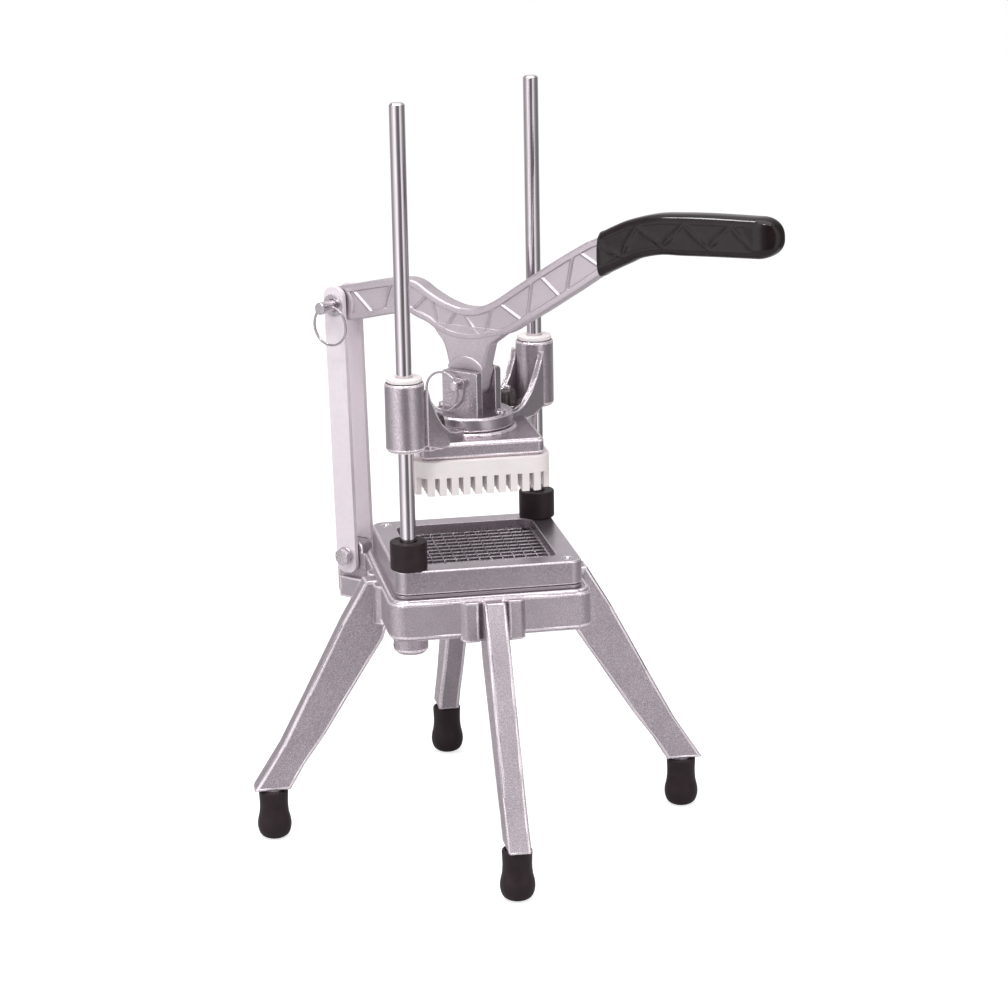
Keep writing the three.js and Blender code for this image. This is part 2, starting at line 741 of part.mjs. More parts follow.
// Stations along the lever's beam from its tail to the grip, as shares of reach and rise,
// with the half depth as a share of the beam's
const tailStationShares = [[1, 1, 0.92], [0.87, 1.057, 0.97], [0.687, 1.166, 0.965],
  [0.543, 1.243, 0.945], [0.427, 1.272, 0.925], [0.342, 1.185, 0.87], [0.256, 1.097, 0.815],
  [0.171, 1.002, 0.87], [0.07, 0.941, 0.877]];
const gripStationShares = [[0.03, 0.409, 0.873], [0.125, 0.429, 0.86], [0.265, 0.485, 0.953],
  [0.4, 0.579, 0.973], [0.53, 0.67, 1], [0.665, 0.766, 1], [0.8, 0.861, 0.987], [0.97, 0.979, 0.92]];
const coreStationShares = [[0, 0, 0.853], [0.123, 0.327, 0.867], [0.2235, 0.563, 0.85], [0.373, 0.76, 0.87],
  [0.52, 0.823, 0.9], [0.71, 0.885, 0.9], [1, 0.95, 0.87]];

const tailEndRadius = tailStationShares[0][2] * leverDepth / 2;

// The beam's stations as points of the lever's plane with half depths
function beamStations() {
  const tail = tailStationShares.map(([x, z, d]) =>
    [-x * tailReach, pivotHeight + z * tailRise, d * leverDepth / 2]);
  const arm = gripStationShares.map(([x, z, d]) =>
    [x * gripReach, pivotHeight + z * gripRise, d * leverDepth / 2]);
  return [...tail, ...arm];
}

function coreStations() {
  return coreStationShares.map(([x, z, d]) => [
    gripReach + x * (coreReach - gripReach),
    pivotHeight + gripRise + z * (gripEndRise - gripRise),
    d * leverDepth / 2,
  ]);
}

// Both edges of a run of stations, moved square to the run by the half depth less an inset
function edges(stations, inset) {
  const upper = [];
  const lower = [];
  stations.forEach(([x, z, depth], i) => {
    const before = stations[Math.max(i - 1, 0)];
    const after = stations[Math.min(i + 1, stations.length - 1)];
    const length = Math.hypot(after[0] - before[0], after[1] - before[1]);
    const nx = -(after[1] - before[1]) / length;
    const nz = (after[0] - before[0]) / length;
    upper.push(new THREE.Vector2(x + nx * (depth - inset), z + nz * (depth - inset)));
    lower.push(new THREE.Vector2(x - nx * (depth - inset), z - nz * (depth - inset)));
  });
  return { upper, lower };
}

function ribbonShape(stations, inset) {
  const { upper, lower } = edges(stations, inset);
  return new THREE.Shape([...lower, ...upper.reverse()]);
}

function circleShape([x, z], r) {
  const shape = new THREE.Shape();
  shape.absarc(x, z, r, 0, TURN, false);
  return shape;
}

// Tongue that hangs from the beam into the clevis, flared into it by hollow curves
function tongueShape() {
  const leftShares = [[-1, 0], [-1.26, 0.74], [-1.48, 1.66], [-1.75, 2.33], [-2.22, 2.87], [-2.6, 3.5]];
  const rightShares = [[2.9, 3.3], [2.02, 2.67], [1.7, 2.42], [1.575, 2.07], [1.26, 0.87], [1, 0]];
  const shape = new THREE.Shape();
  [...leftShares, ...rightShares].forEach(([x, z], i) => {
    const place = [x * tongueRadius, pivotHeight + z * tongueRadius];
    if (i) shape.lineTo(...place);
    else shape.moveTo(...place);
  });
  shape.absarc(0, pivotHeight, tongueRadius, 0, -Math.PI, true);
  return shape;
}

// The height of an edge of the beam at a place along it
function edgeHeight(points, x) {
  const after = points.findIndex((point) => point.x >= x);
  const a = points[after - 1];
  const b = points[after];
  return a.y + (b.y - a.y) * (x - a.x) / (b.x - a.x);
}

// The zigzag ribs: where each meets the pocket's lower and upper edge, as shares of the
// tail's reach on the left of the pivot and of the grip's reach on its right
const ribShares = [[-0.74, -0.876], [-0.632, -0.578], [-0.276, -0.395], [-0.2, -0.254],
  [0.096, -0.005], [0.139, 0.195], [0.41, 0.267], [0.467, 0.498], [0.695, 0.569], [0.758, 0.8]];

// Shallow pockets in a side of the lever, between the rims and less the zigzag ribs
function leverPockets(hand) {
  const run = beamStations();
  const near = hand * (leverThickness / 2 + overrun);
  const floor = hand * (leverThickness / 2 - pocketDepth);
  const from = Math.min(near, floor);
  const to = Math.max(near, floor);
  const { upper, lower } = edges(run, leverRim);
  const along = (share) => share * (share < 0 ? tailReach : gripReach);
  const ribs = ribShares.map(([low, high]) => {
    const a = [along(low), edgeHeight(lower, along(low))];
    const b = [along(high), edgeHeight(upper, along(high))];
    const length = Math.hypot(b[0] - a[0], b[1] - a[1]) + 2 * ribWidth;
    const blank = new THREE.BoxGeometry(length, to - from + overrun, ribWidth);
    const angle = Math.atan2(b[1] - a[1], b[0] - a[0]);
    return solid(blank.rotateY(-angle).translate((a[0] + b[0]) / 2, (from + to) / 2, (a[1] + b[1]) / 2));
  });
  const tailEye = side(circleShape(pivotA, leverDepth / 2), from - overrun, to + overrun, 12);
  const pocket = side(ribbonShape(run.slice(0, -1), leverRim), from, to);
  return cut(pocket, [tailEye, ...ribs]);
}

// A plate in the lever's plane with chamfered edges
function beveledSide(shape, half, bevel, segments = 10) {
  const settings = {
    depth: 2 * (half - bevel), bevelEnabled: true, bevelThickness: bevel, bevelSize: bevel,
    bevelOffset: -bevel, bevelSegments: 1, curveSegments: segments,
  };
  return solid(new THREE.ExtrudeGeometry(shape, settings).rotateX(QUARTER).translate(0, half - bevel, 0));
}

function lever() {
  const half = leverThickness / 2;
  const beam = beveledSide(ribbonShape([...beamStations(), ...coreStations()], 0), half, leverEdge);
  const tailEnd = beveledSide(circleShape(pivotA, tailEndRadius), half, leverEdge, 12);
  const tongue = beveledSide(tongueShape(), half, leverEdge, 8);
  const disc = crosswise(rod(bossDisc, -bossThickness / 2, bossThickness / 2), [0, pivotHeight], fine);
  const boss = beveledSide(tongueShape(), bossThickness / 2, leverEdge, 8).intersect(disc);
  const pockets = sides.map((hand) => leverPockets(hand));
  const pinHole = crosswise(rod(crossPinRadius + gap, -earGap, earGap), [0, pivotHeight], round);
  const tailHole = crosswise(rod(tailPinRadius + gap, -earGap, earGap), pivotA, round);
  return cut(join([cut(join([beam, tailEnd, tongue]), pockets), boss]), [pinHole, tailHole]);
}

// Grip: an oval section carried along the lever's core, cut upright at its mouth and closed
// by a round end
function grip() {
  const sectionPoints = 16;
  const wall = gripWall;
  const stations = coreStations();
  const [ex, ez, ed] = stations[stations.length - 1];
  const endShares = [[0.5, 0.87], [0.8, 0.62], [0.96, 0.3]];
  const rows = stations.map(([x, z, d]) => [x, z, d + wall, 1]);
  for (const [along, size] of endShares) {
    rows.push([ex + along * gripCap, ez + along * wall / 2, (ed + wall) * size, size]);
  }
  const vertices = [];
  rows.forEach(([x, z, depth, fat], i) => {
    const before = rows[Math.max(i - 1, 0)];
    const after = rows[Math.min(i + 1, rows.length - 1)];
    const length = Math.hypot(after[0] - before[0], after[1] - before[1]);
    const lean = (after[0] - before[0]) / length;
    const nx = i ? -(after[1] - before[1]) / length : 0;
    const nz = i ? lean : 1 / lean;
    for (let j = 0; j < sectionPoints; j += 1) {
      const angle = j * TURN / sectionPoints;
      const c = Math.cos(angle);
      const s = Math.sin(angle);
      const across = Math.sign(c) * Math.abs(c) ** 0.6 * gripThickness / 2 * fat;
      const along = Math.sign(s) * Math.abs(s) ** 0.7 * depth;
      vertices.push(x + nx * along, across, z + nz * along);
    }
  });
  const start = vertices.length / 3;
  vertices.push(rows[0][0], 0, rows[0][1]);
  vertices.push(gripEndReach, 0, ez + wall / 2);
  const index = [];
  for (let i = 0; i + 1 < rows.length; i += 1) {
    for (let j = 0; j < sectionPoints; j += 1) {
      const a = i * sectionPoints + j;
      const b = i * sectionPoints + (j + 1) % sectionPoints;
      index.push(a, b, a + sectionPoints, b, b + sectionPoints, a + sectionPoints);
    }
  }
  const last = (rows.length - 1) * sectionPoints;
  for (let j = 0; j < sectionPoints; j += 1) {
    const k = (j + 1) % sectionPoints;
    index.push(start, k, j);
    index.push(start + 1, last + j, last + k);
  }
  const geometry = new THREE.BufferGeometry();
  geometry.setAttribute('position', new THREE.Float32BufferAttribute(vertices, 3));
  geometry.setIndex(index);
  const hollow = side(ribbonShape([...beamStations(), ...coreStations()], -gap),
    -leverThickness / 2 - gap, leverThickness / 2 + gap);
  const hollowEnd = block(gap, leverThickness + 2 * gap, (ed + gap) * 2, ex + gap / 2, 0, ez);
  return cut(solid(geometry), [hollow, hollowEnd]);
}

// Link bar beside the lever's tail and the base lug
function linkBar(hand) {
  const [ax, az] = pivotA;
  const [bx, bz] = pivotB;
  const length = Math.hypot(ax - bx, az - bz) + 2 * barOverhang;
  const inner = hand * barGap / 2;
  const outer = hand * (barGap / 2 + barThickness);
  const tilt = Math.atan2(ax - bx, az - bz);
  const blank = surface(side(roundedRectangle(barWidth, length, barCorner),
    Math.min(inner, outer), Math.max(inner, outer), 4));
  const bar = solid(blank.rotateY(tilt).translate((ax + bx) / 2, 0, (az + bz) / 2));
  return cut(bar, [
    crosswise(rod(tailPinRadius + gap, -shelfWidth, shelfWidth), pivotA, round),
    crosswise(rod(boltRadius + gap, -shelfWidth, shelfWidth), pivotB, round),
  ]);
}

const barOuter = barGap / 2 + barThickness;

// A quick release pin along Y with chamfered ends and a cross hole for its ring
function pin(place, r, nearEnd, farEnd, holeAngle) {
  const body = crosswise([
    [0, nearEnd], [r - pinEdge, nearEnd], [r, nearEnd + pinEdge], [r, farEnd - pinEdge],
    [r - pinEdge, farEnd], [0, farEnd],
  ], place, round);
  const hole = new THREE.CylinderGeometry(pinHoleRadius, pinHoleRadius, 3 * r, coarse / 2).rotateX(QUARTER);
  const turnedHole = hole.rotateY(-holeAngle).translate(place[0], nearEnd + pinHoleSetback, place[1]);
  return cut(body, [solid(turnedHole)]);
}

const washerAt = (place, r, bore, from, to) => crosswise(ringRows(bore, r, from, to), place, coarse);

// Split ring through a pin's cross hole. The ring's middle lies in the given direction, and
// its bent wire is centred in the hole by half of the bend's height.
function splitRing(place, nearEnd, pinRadius, radius, direction) {
  const bend = radius - Math.sqrt(radius * radius - pinRadius * pinRadius);
  const reach = radius - bend / 2;
  const ring = new THREE.TorusGeometry(radius, ringWire, 5, 22).rotateX(QUARTER);
  const x = place[0] + reach * Math.cos(direction);
  const z = place[1] + reach * Math.sin(direction);
  return solid(ring.translate(x, nearEnd + pinHoleSetback, z));
}

// Hexagon bolt head or nut, from its flats and its faces along Y
function hexagon(place, flats, from, to) {
  const radius = flats / Math.sqrt(3);
  const shape = new THREE.Shape();
  for (let i = 0; i < 6; i += 1) {
    const angle = i * TURN / 6;
    const x = place[0] + radius * Math.cos(angle);
    const z = place[1] + radius * Math.sin(angle);
    if (i) shape.lineTo(x, z);
    else shape.moveTo(x, z);
  }
  return side(shape, from, to);
}

function footBolt() {
  const seat = -barOuter - gap;
  const end = barOuter + gap + boltFlange + gap + footNutHeight + boltProud;
  return join([
    hexagon(pivotB, boltHeadFlats, seat - boltFlange - boltHeadHeight, seat - boltFlange / 2),
    crosswise(rod(boltFlangeRadius, seat - boltFlange, seat), pivotB, round),
    crosswise(rod(boltRadius, seat - boltFlange, end), pivotB, round),
  ]);
}

function footNut() {
  const seat = barOuter + gap + boltFlange + gap;
  return cut(hexagon(pivotB, nutFlats, seat, seat + footNutHeight), [
    crosswise(rod(boltRadius + gap, -shelfWidth, shelfWidth), pivotB, round),
  ]);
}

// Base
const legAngles = quarters.map((quarter) => EIGHTH + quarter * QUARTER);
const legNames = ['rear_right', 'rear_left', 'front_left', 'front_right'];
const plugs = legAngles.map((angle) => upright(footPlugBody(),
  footRadius * Math.cos(angle), footRadius * Math.sin(angle), coarse));
piece('base_casting', join([baseCasting(), ...plugs]), castAluminium);
legAngles.forEach((angle, i) => {
  const foot = upright(rubberFoot(), footRadius * Math.cos(angle), footRadius * Math.sin(angle), coarse);
  piece(`foot_${legNames[i]}`, foot, blackRubber);
});
piece('clamp_plate', clampPlate(), polishedAluminium);
piece('blade_frame', bladeFrame(), castAluminium);
piece('blade_set_notched', bladeSet(notchedBladeShape(), EIGHTH), bladeSteel);
piece('blade_set_slim', bladeSet(slimBladeShape(), EIGHTH + QUARTER), bladeSteel);
for (const hand of sides) {
  const where = hand < 0 ? 'near' : 'far';
  piece(`guide_rod_${where}`, guideRod(hand), brightSteel);
  piece(`stop_collar_${where}`, stopCollar(hand), blackRubber);
  piece(`rod_set_screw_${where}`, setScrew(hand), brightSteel);
  piece(`frame_screw_${hand < 0 ? 'link_side' : 'grip_side'}`, frameScrew(hand), brightSteel);
}

// Head
piece('head_casting', headCasting(), castAluminium);
piece('clevis', clevis(), castAluminium);
piece('pusher_block', pusherBlock(), whiteNylon);
for (const hand of sides) {
  const where = hand < 0 ? 'near' : 'far';
  piece(`upper_bushing_${where}`, bushing(hand, true), whiteNylon);
  piece(`lower_bushing_${where}`, bushing(hand, false), whiteNylon);
  piece(`clevis_screw_${hand < 0 ? 'link_side' : 'grip_side'}`, clevisScrew(hand), brightSteel);
  piece(`pusher_stud_${where}`, pusherStud(hand), brightSteel);
  piece(`pusher_washer_${where}`, pusherWasher(hand), brightSteel);
  piece(`thumb_nut_${where}`, thumbNut(hand), darkNut);
}
const pivotC = [0, pivotHeight];
piece('cross_pin', pin(pivotC, crossPinRadius, -crossPinReach, crossPinFar, crossRingAngle + Math.PI),
  brightSteel);
piece('cross_pin_ring', splitRing(pivotC, -crossPinReach, crossPinRadius, crossRingRadius, crossRingAngle),
  brightSteel);

// Lever
piece('lever', lever(), castAluminium);
piece('lever_grip', grip(), gripVinyl);

// Link
for (const hand of sides) {
  piece(`link_bar_${hand < 0 ? 'near' : 'far'}`, linkBar(hand), whiteBar);
}
piece('link_foot_bolt', footBolt(), brightSteel);
piece('link_foot_nut', footNut(), brightSteel);
piece('link_foot_washer', washerAt(pivotB, boltFlangeRadius, boltRadius + gap,
  barOuter + gap, barOuter + gap + boltFlange), brightSteel);
piece('tail_pin', pin(pivotA, tailPinRadius, -tailPinReach, -barGap / 2, tailRingAngle + Math.PI),
  brightSteel);
piece('tail_pin_tip', crosswise([[0, barGap / 2], [tailPinRadius, barGap / 2],
  [tailPinRadius, tailPinReach * 0.6], [0, tailPinReach * 0.6 + pinEdge]], pivotA, round), brightSteel);
piece('tail_pin_washer', washerAt(pivotA, pinWasherRadius, tailPinRadius + gap,
  -barOuter - gap - pinWasherThickness, -barOuter - gap), brightSteel);
piece('tail_pin_ring', splitRing(pivotA, -tailPinReach, tailPinRadius, tailRingRadius, tailRingAngle),
  brightSteel);

// The origin under the middle of the outline, from the tail or the feet to the grip's end
const standReach = (legFootOuter + legWidth / 2 - legBevel) * Math.SQRT1_2;
cutter.position.x = -(gripEndReach - Math.max(standReach, tailReach + tailEndRadius)) / 2;

export default cutter;
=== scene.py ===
"""Looks of a hand lever potato chip cutter: cast aluminium stand and head, polished rods, white pusher
block."""
import json
import math

import bmesh
import bpy
import numpy as np
from mathutils import Matrix, Vector


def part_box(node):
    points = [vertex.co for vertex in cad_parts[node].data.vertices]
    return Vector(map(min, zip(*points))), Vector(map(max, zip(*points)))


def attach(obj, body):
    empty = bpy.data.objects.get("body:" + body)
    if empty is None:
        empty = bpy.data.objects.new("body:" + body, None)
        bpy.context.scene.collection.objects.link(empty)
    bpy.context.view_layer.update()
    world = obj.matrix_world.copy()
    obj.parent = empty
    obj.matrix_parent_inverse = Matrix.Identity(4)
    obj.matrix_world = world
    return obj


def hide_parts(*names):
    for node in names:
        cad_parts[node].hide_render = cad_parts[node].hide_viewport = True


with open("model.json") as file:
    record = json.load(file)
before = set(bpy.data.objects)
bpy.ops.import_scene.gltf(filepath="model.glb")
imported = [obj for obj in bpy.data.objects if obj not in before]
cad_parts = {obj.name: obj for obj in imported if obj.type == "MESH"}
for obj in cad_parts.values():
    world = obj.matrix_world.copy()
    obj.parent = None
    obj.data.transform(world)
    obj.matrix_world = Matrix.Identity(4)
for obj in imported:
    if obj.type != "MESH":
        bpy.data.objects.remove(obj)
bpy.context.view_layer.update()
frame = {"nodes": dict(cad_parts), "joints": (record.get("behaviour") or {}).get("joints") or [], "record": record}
MM = 0.001

# Places that the frame gives
JOINTS = {joint["name"]: joint for joint in frame["joints"]}
LEVER_PIVOT = np.array(JOINTS["lever_pivot"]["pos_m"])
FOOT_PIVOT = np.array(JOINTS["link_swing"]["pos_m"])
TAIL_RING_PIN = np.array(JOINTS["tail_ring_swing"]["pos_m"])
TAIL_PIVOT = TAIL_RING_PIN * np.array([1.0, 0.0, 1.0])
EIGHTH = math.pi / 4
TURN = 2 * math.pi
SIDES = ("near", "far")


def corners(node):
    """Lowest and highest corner of a node as arrays."""
    low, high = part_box(node)
    return np.array(low), np.array(high)


# Finishes

PALE = EVEN = (1.0, 1.0, 1.0)
RAMP_LOW, RAMP_HIGH = 0.3, 0.7


def new_finish(name):
    """A material with its shader, its node tree's maker and a coordinate source."""
    material = bpy.data.materials.new(name)
    material.use_nodes = True
    nodes, links = material.node_tree.nodes, material.node_tree.links
    shader = nodes["Principled BSDF"]
    place = nodes.new("ShaderNodeTexCoord").outputs["Object"]
    return material, nodes, links, shader, place


def noise(nodes, links, place, scale, detail=2.0, roughness=0.5, stretch=None):
    """Noise of a given number of grains a metre; stretch scales the three directions."""
    if stretch is not None:
        mapping = nodes.new("ShaderNodeMapping")
        mapping.inputs["Scale"].default_value = stretch
        links.new(place, mapping.inputs["Vector"])
        place = mapping.outputs["Vector"]
    texture = nodes.new("ShaderNodeTexNoise")
    texture.inputs["Scale"].default_value = scale
    texture.inputs["Detail"].default_value = detail
    texture.inputs["Roughness"].default_value = roughness
    links.new(place, texture.inputs["Vector"])
    return texture.outputs["Fac"]


def ramp(nodes, links, value, stops):
    """A colour ramp over a value; stops are (place, colour)."""
    node = nodes.new("ShaderNodeValToRGB")
    elements = node.color_ramp.elements
    elements[0].position, elements[0].color = stops[0][0], (*stops[0][1], 1)
    elements[1].position, elements[1].color = stops[-1][0], (*stops[-1][1], 1)
    for position, color in stops[1:-1]:
        elements.new(position).color = (*color, 1)
    links.new(value, node.inputs["Fac"])
    return node.outputs["Color"]


def spread(nodes, links, value, low, high, start=0.35, end=0.65):
    """A value mapped from start..end to low..high."""
    node = nodes.new("ShaderNodeMapRange")
    for socket, bound in zip(("From Min", "From Max", "To Min", "To Max"), (start, end, low, high)):
        node.inputs[socket].default_value = bound
    links.new(value, node.inputs["Value"])
    return node.outputs["Result"]


def relief(nodes, links, shader, height, strength, distance):
    """A bump of the height given, in metres."""
    bump = nodes.new("ShaderNodeBump")
    bump.inputs["Strength"].default_value = strength
    bump.inputs["Distance"].default_value = distance
    links.new(height, bump.inputs["Height"])
    links.new(bump.outputs["Normal"], shader.inputs["Normal"])


def multiplied(nodes, links, first, second):
    """The product of two colours."""
    node = nodes.new("ShaderNodeMix")
    node.data_type = "RGBA"
    node.blend_type = "MULTIPLY"
    node.inputs[0].default_value = 1.0
    links.new(first, node.inputs[6])
    links.new(second, node.inputs[7])
    return node.outputs[2]


def finish(name, color, rough, bump=None, shade=None, **constants):
    """A procedural material. Each noise is (grains a metre, detail, roughness, stretch), as far as it is given.
    The colour is a noise and the stops of its ramp, and a shade of the same kind may multiply it; the roughness
    is a noise, low and high; the bump is a noise, strength and height. The constants are other sockets."""
    material, nodes, links, shader, place = new_finish(name)
    kinds = {part[0] for part in (color, rough, bump, shade) if part}
    textures = {kind: noise(nodes, links, place, *kind) for kind in sorted(kinds)}
    tone = ramp(nodes, links, textures[color[0]], color[1:])
    if shade:
        tone = multiplied(nodes, links, tone, ramp(nodes, links, textures[shade[0]], shade[1:]))
    links.new(tone, shader.inputs["Base Color"])
    links.new(spread(nodes, links, textures[rough[0]], *rough[1:]), shader.inputs["Roughness"])
    if bump:
        relief(nodes, links, shader, textures[bump[0]], *bump[1:])
    for socket, value in constants.items():
        shader.inputs[socket.replace("_", " ")].default_value = value
    return material


def mottled(kind, low, high):
    """A noise with a ramp from a low to a high colour."""
    return kind, (RAMP_LOW, low), (RAMP_HIGH, high)


def sand_cast(name, low, high, dull, bright, depth):
    """Sand cast skin: fine grain with sparkling facets, slow cloudiness and a rough bump."""
    grain, sparkle = (2000, 2.0, 0.6), (0.84, 0.77, 0.815)
    return finish(name, (grain, (0.38, low), (0.54, high), (0.64, sparkle)), (grain, dull, bright),
                  (grain, depth, 0.0005), mottled((28, 3.0), (0.88, 0.87, 0.88), PALE), Metallic=0.92)


def steel(name, stretch, low, high, tone=1.0):
    """Polished steel with faint marks; a stretch under one draws them out along the bar."""
    marks = (700, 3.0, 0.6, stretch)
    dark, pale = np.array([[0.60, 0.555, 0.585], [0.74, 0.69, 0.72]]) * tone
    return finish(name, mottled(marks, dark, pale), (marks, low, high), (marks, 0.05, 0.0002), Metallic=1.0)


CAST = sand_cast("sand_cast_aluminium", (0.34, 0.30, 0.325), (0.55, 0.49, 0.53), 0.48, 0.3, 0.4)
TUMBLED_CAST = sand_cast("tumbled_aluminium", (0.37, 0.325, 0.355), (0.58, 0.52, 0.56), 0.36, 0.22, 0.2)
MILLED_CAST = sand_cast("milled_aluminium", (0.40, 0.355, 0.385), (0.46, 0.41, 0.445), 0.34, 0.25, 0.1)

# The lever's smoother skin: pale, a little pink, with a very fine grain and slow clouds
FINE_GRAIN, SLOW_CLOUD = (1500, 3.0, 0.6), (35, 3.0)
LEVER_SKIN = finish("fettled_aluminium", (FINE_GRAIN, (0.36, (0.49, 0.44, 0.47)), (0.58, (0.65, 0.59, 0.63))),
                    (SLOW_CLOUD, 0.34, 0.46), (FINE_GRAIN, 0.22, 0.0003),
                    mottled(SLOW_CLOUD, (0.92, 0.91, 0.92), PALE), Metallic=0.8)

# Paler colour for cast edges: a painted highlight along them
WORN_GRAIN = (700, 3.0, 0.6)
PAINTED_EDGE_HIGHLIGHT = finish("painted_edge_highlight", (WORN_GRAIN, (0.34, (0.84, 0.76, 0.81)), (0.62, (0.97, 0.89, 0.94))),
                (WORN_GRAIN, 0.34, 0.22), (WORN_GRAIN, 0.2, 0.0003), Metallic=0.75)

# Machined and polished aluminium, with soft turning marks and a few dull patches
LATHE_MARKS = (120, 3.0, 0.6, (1.0, 1.0, 12.0))
POLISHED = finish("polished_aluminium", mottled((40,), (0.56, 0.50, 0.54), (0.72, 0.65, 0.695)),
                  (LATHE_MARKS, 0.2, 0.34), (LATHE_MARKS, 0.08, 0.0003), Metallic=0.95)

ROD_STEEL = steel("polished_steel", (1.0, 1.0, 0.04), 0.07, 0.14)
PLAIN_STEEL = steel("turned_steel", EVEN, 0.16, 0.3)
WIRE = steel("sprung_wire", EVEN, 0.08, 0.16, 0.75)
RAIL = steel("folded_rail", EVEN, 0.2, 0.34)

# Blade steel, ground crosswise, and the bright bevels along its top
BLADE_MARKS, BEVEL_MARKS = (500, 2.0, 0.5, (1.0, 1.0, 5.0)), (900, 2.0, 0.5)
BLADE = finish("ground_blade", mottled(BLADE_MARKS, (0.26, 0.23, 0.25), (0.42, 0.375, 0.405)),
               (BLADE_MARKS, 0.26, 0.42), Metallic=0.9)
BLADE_EDGE = finish("ground_edge", mottled(BEVEL_MARKS, (0.52, 0.465, 0.50), (0.74, 0.67, 0.715)),
                    (BEVEL_MARKS, 0.22, 0.36), Metallic=1.0)

# Pale satin bars
BAR_GRAIN = (350, 3.0, 0.6)
BAR = finish("pale_bar", mottled(BAR_GRAIN, (0.89, 0.815, 0.865), (0.93, 0.85, 0.90)), (BAR_GRAIN, 0.4, 0.5),
             (BAR_GRAIN, 0.06, 0.0003), Metallic=0.25)

# Moulded white plastic, a little uneven, with light passing under its skin
NYLON_GRAIN = (900, 2.0)
NYLON = finish("white_nylon", mottled((60, 3.0), (0.93, 0.87, 0.86), (0.97, 0.91, 0.90)), (NYLON_GRAIN, 0.38, 0.5),
               (NYLON_GRAIN, 0.05, 0.0002), Subsurface_Weight=0.12, Subsurface_Scale=0.003)

# Moulded rubber, nearly black and slightly brown, dull with paler scuffs
SCUFFS = (90, 4.0, 0.6)
RUBBER = finish("black_rubber", (SCUFFS, (0.3, (0.018, 0.010, 0.012)), (0.72, (0.030, 0.018, 0.021))),
                (SCUFFS, 0.42, 0.55), ((1500, 2.0), 0.12, 0.0002), Specular_IOR_Level=0.25)

# Glossy dipped coating: a smooth skin with slow waves and fine dents
DENTS = (160, 3.0)
VINYL = finish("dipped_vinyl", mottled(DENTS, (0.010, 0.005, 0.006), (0.015, 0.008, 0.009)), (DENTS, 0.06, 0.1),
               ((45, 2.0, 0.4), 0.2, 0.001), Specular_IOR_Level=0.35)

# Dark, brownish metal, mottled paler and darker
# On the rods' set screws this dark colour is a painted shade, standing for the shade of the holes they sit in.
NUT_CLOUD = (300, 3.0)
DARK_METAL_AND_HOLE_SHADE = finish("dark_metal_and_painted_hole_shade", mottled(NUT_CLOUD, (0.055, 0.045, 0.045), (0.13, 0.11, 0.11)),
                  (NUT_CLOUD, 0.3, 0.45), Metallic=0.6)

# The rods' set screws take the dark metal finish as a painted shade of their holes.
NODE_FINISH = {"lever": LEVER_SKIN, "head_casting": TUMBLED_CAST, "blade_frame": MILLED_CAST,
               "clamp_plate": MILLED_CAST, "clevis": MILLED_CAST,
               "rod_set_screw_near": DARK_METAL_AND_HOLE_SHADE, "rod_set_screw_far": DARK_METAL_AND_HOLE_SHADE}
SLOT_FINISH = {
    "cast_aluminium": CAST, "machined_aluminium": POLISHED, "bar_steel": BAR, "bright_steel": PLAIN_STEEL,
    "blade_steel": BLADE, "dark_metal": DARK_METAL_AND_HOLE_SHADE, "rubber": RUBBER, "grip_vinyl": VINYL, "nylon": NYLON,
}
NODE_SLOT = {part["node"]: part["material_slot"] for part in frame["record"]["subparts"]}
NODE_BODY = {node: body for body, nodes in frame["record"]["behaviour"]["bodies"].items() for node in nodes}


# Surfaces

def grid_faces(rows, columns, closed=False):
    """Quads of a grid whose columns run right round; closed joins the last row to the first as well."""
    i, j = np.meshgrid(np.arange(rows if closed else rows - 1), np.arange(columns), indexing="ij")
    i_next, j_next = (i + 1) % rows, (j + 1) % columns
    quads = (i * columns + j, i * columns + j_next, i_next * columns + j_next, i_next * columns + j)
    return np.stack(quads, -1).reshape(-1, 4)


def placed(name, data):
    """An object of that name in the scene."""
    obj = bpy.data.objects.new(name, data)
    bpy.context.scene.collection.objects.link(obj)
    return obj


def with_ends(rows):
    """A tube's rows of points, with one more row at each end that has shrunk to the middle of the last."""
    first, last = (np.broadcast_to(rows[k].mean(0), (1, *rows[k].shape)) for k in (0, -1))
    return np.concatenate([first, rows, last])


def surface(name, points, faces, finish):
    """A mesh object from arrays of points and faces, with its doubles merged and its faces turned outwards."""
    mesh = bpy.data.meshes.new(name)
    mesh.from_pydata(points.reshape(-1, 3).tolist(), [], faces.tolist())
    shape = bmesh.new()
    shape.from_mesh(mesh)
    bmesh.ops.remove_doubles(shape, verts=shape.verts, dist=2e-6)
    bmesh.ops.dissolve_degenerate(shape, edges=shape.edges, dist=2e-6)
    bmesh.ops.recalc_face_normals(shape, faces=shape.faces)
    shape.to_mesh(mesh)
    shape.free()
    mesh.materials.append(finish)
    mesh.shade_smooth()
    return placed(name, mesh)


def stands_for(obj, node):
    """The piece rides where its node rides and replaces it."""
    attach(obj, NODE_BODY[node])
    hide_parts(node)
    return obj


def even_shading(obj):
    """Large faces keep flat shading beside narrow rounded edges."""
    weights = obj.modifiers.new("even_shading", "WEIGHTED_NORMAL")
    weights.weight = 80
    weights.keep_sharp = True
    return obj


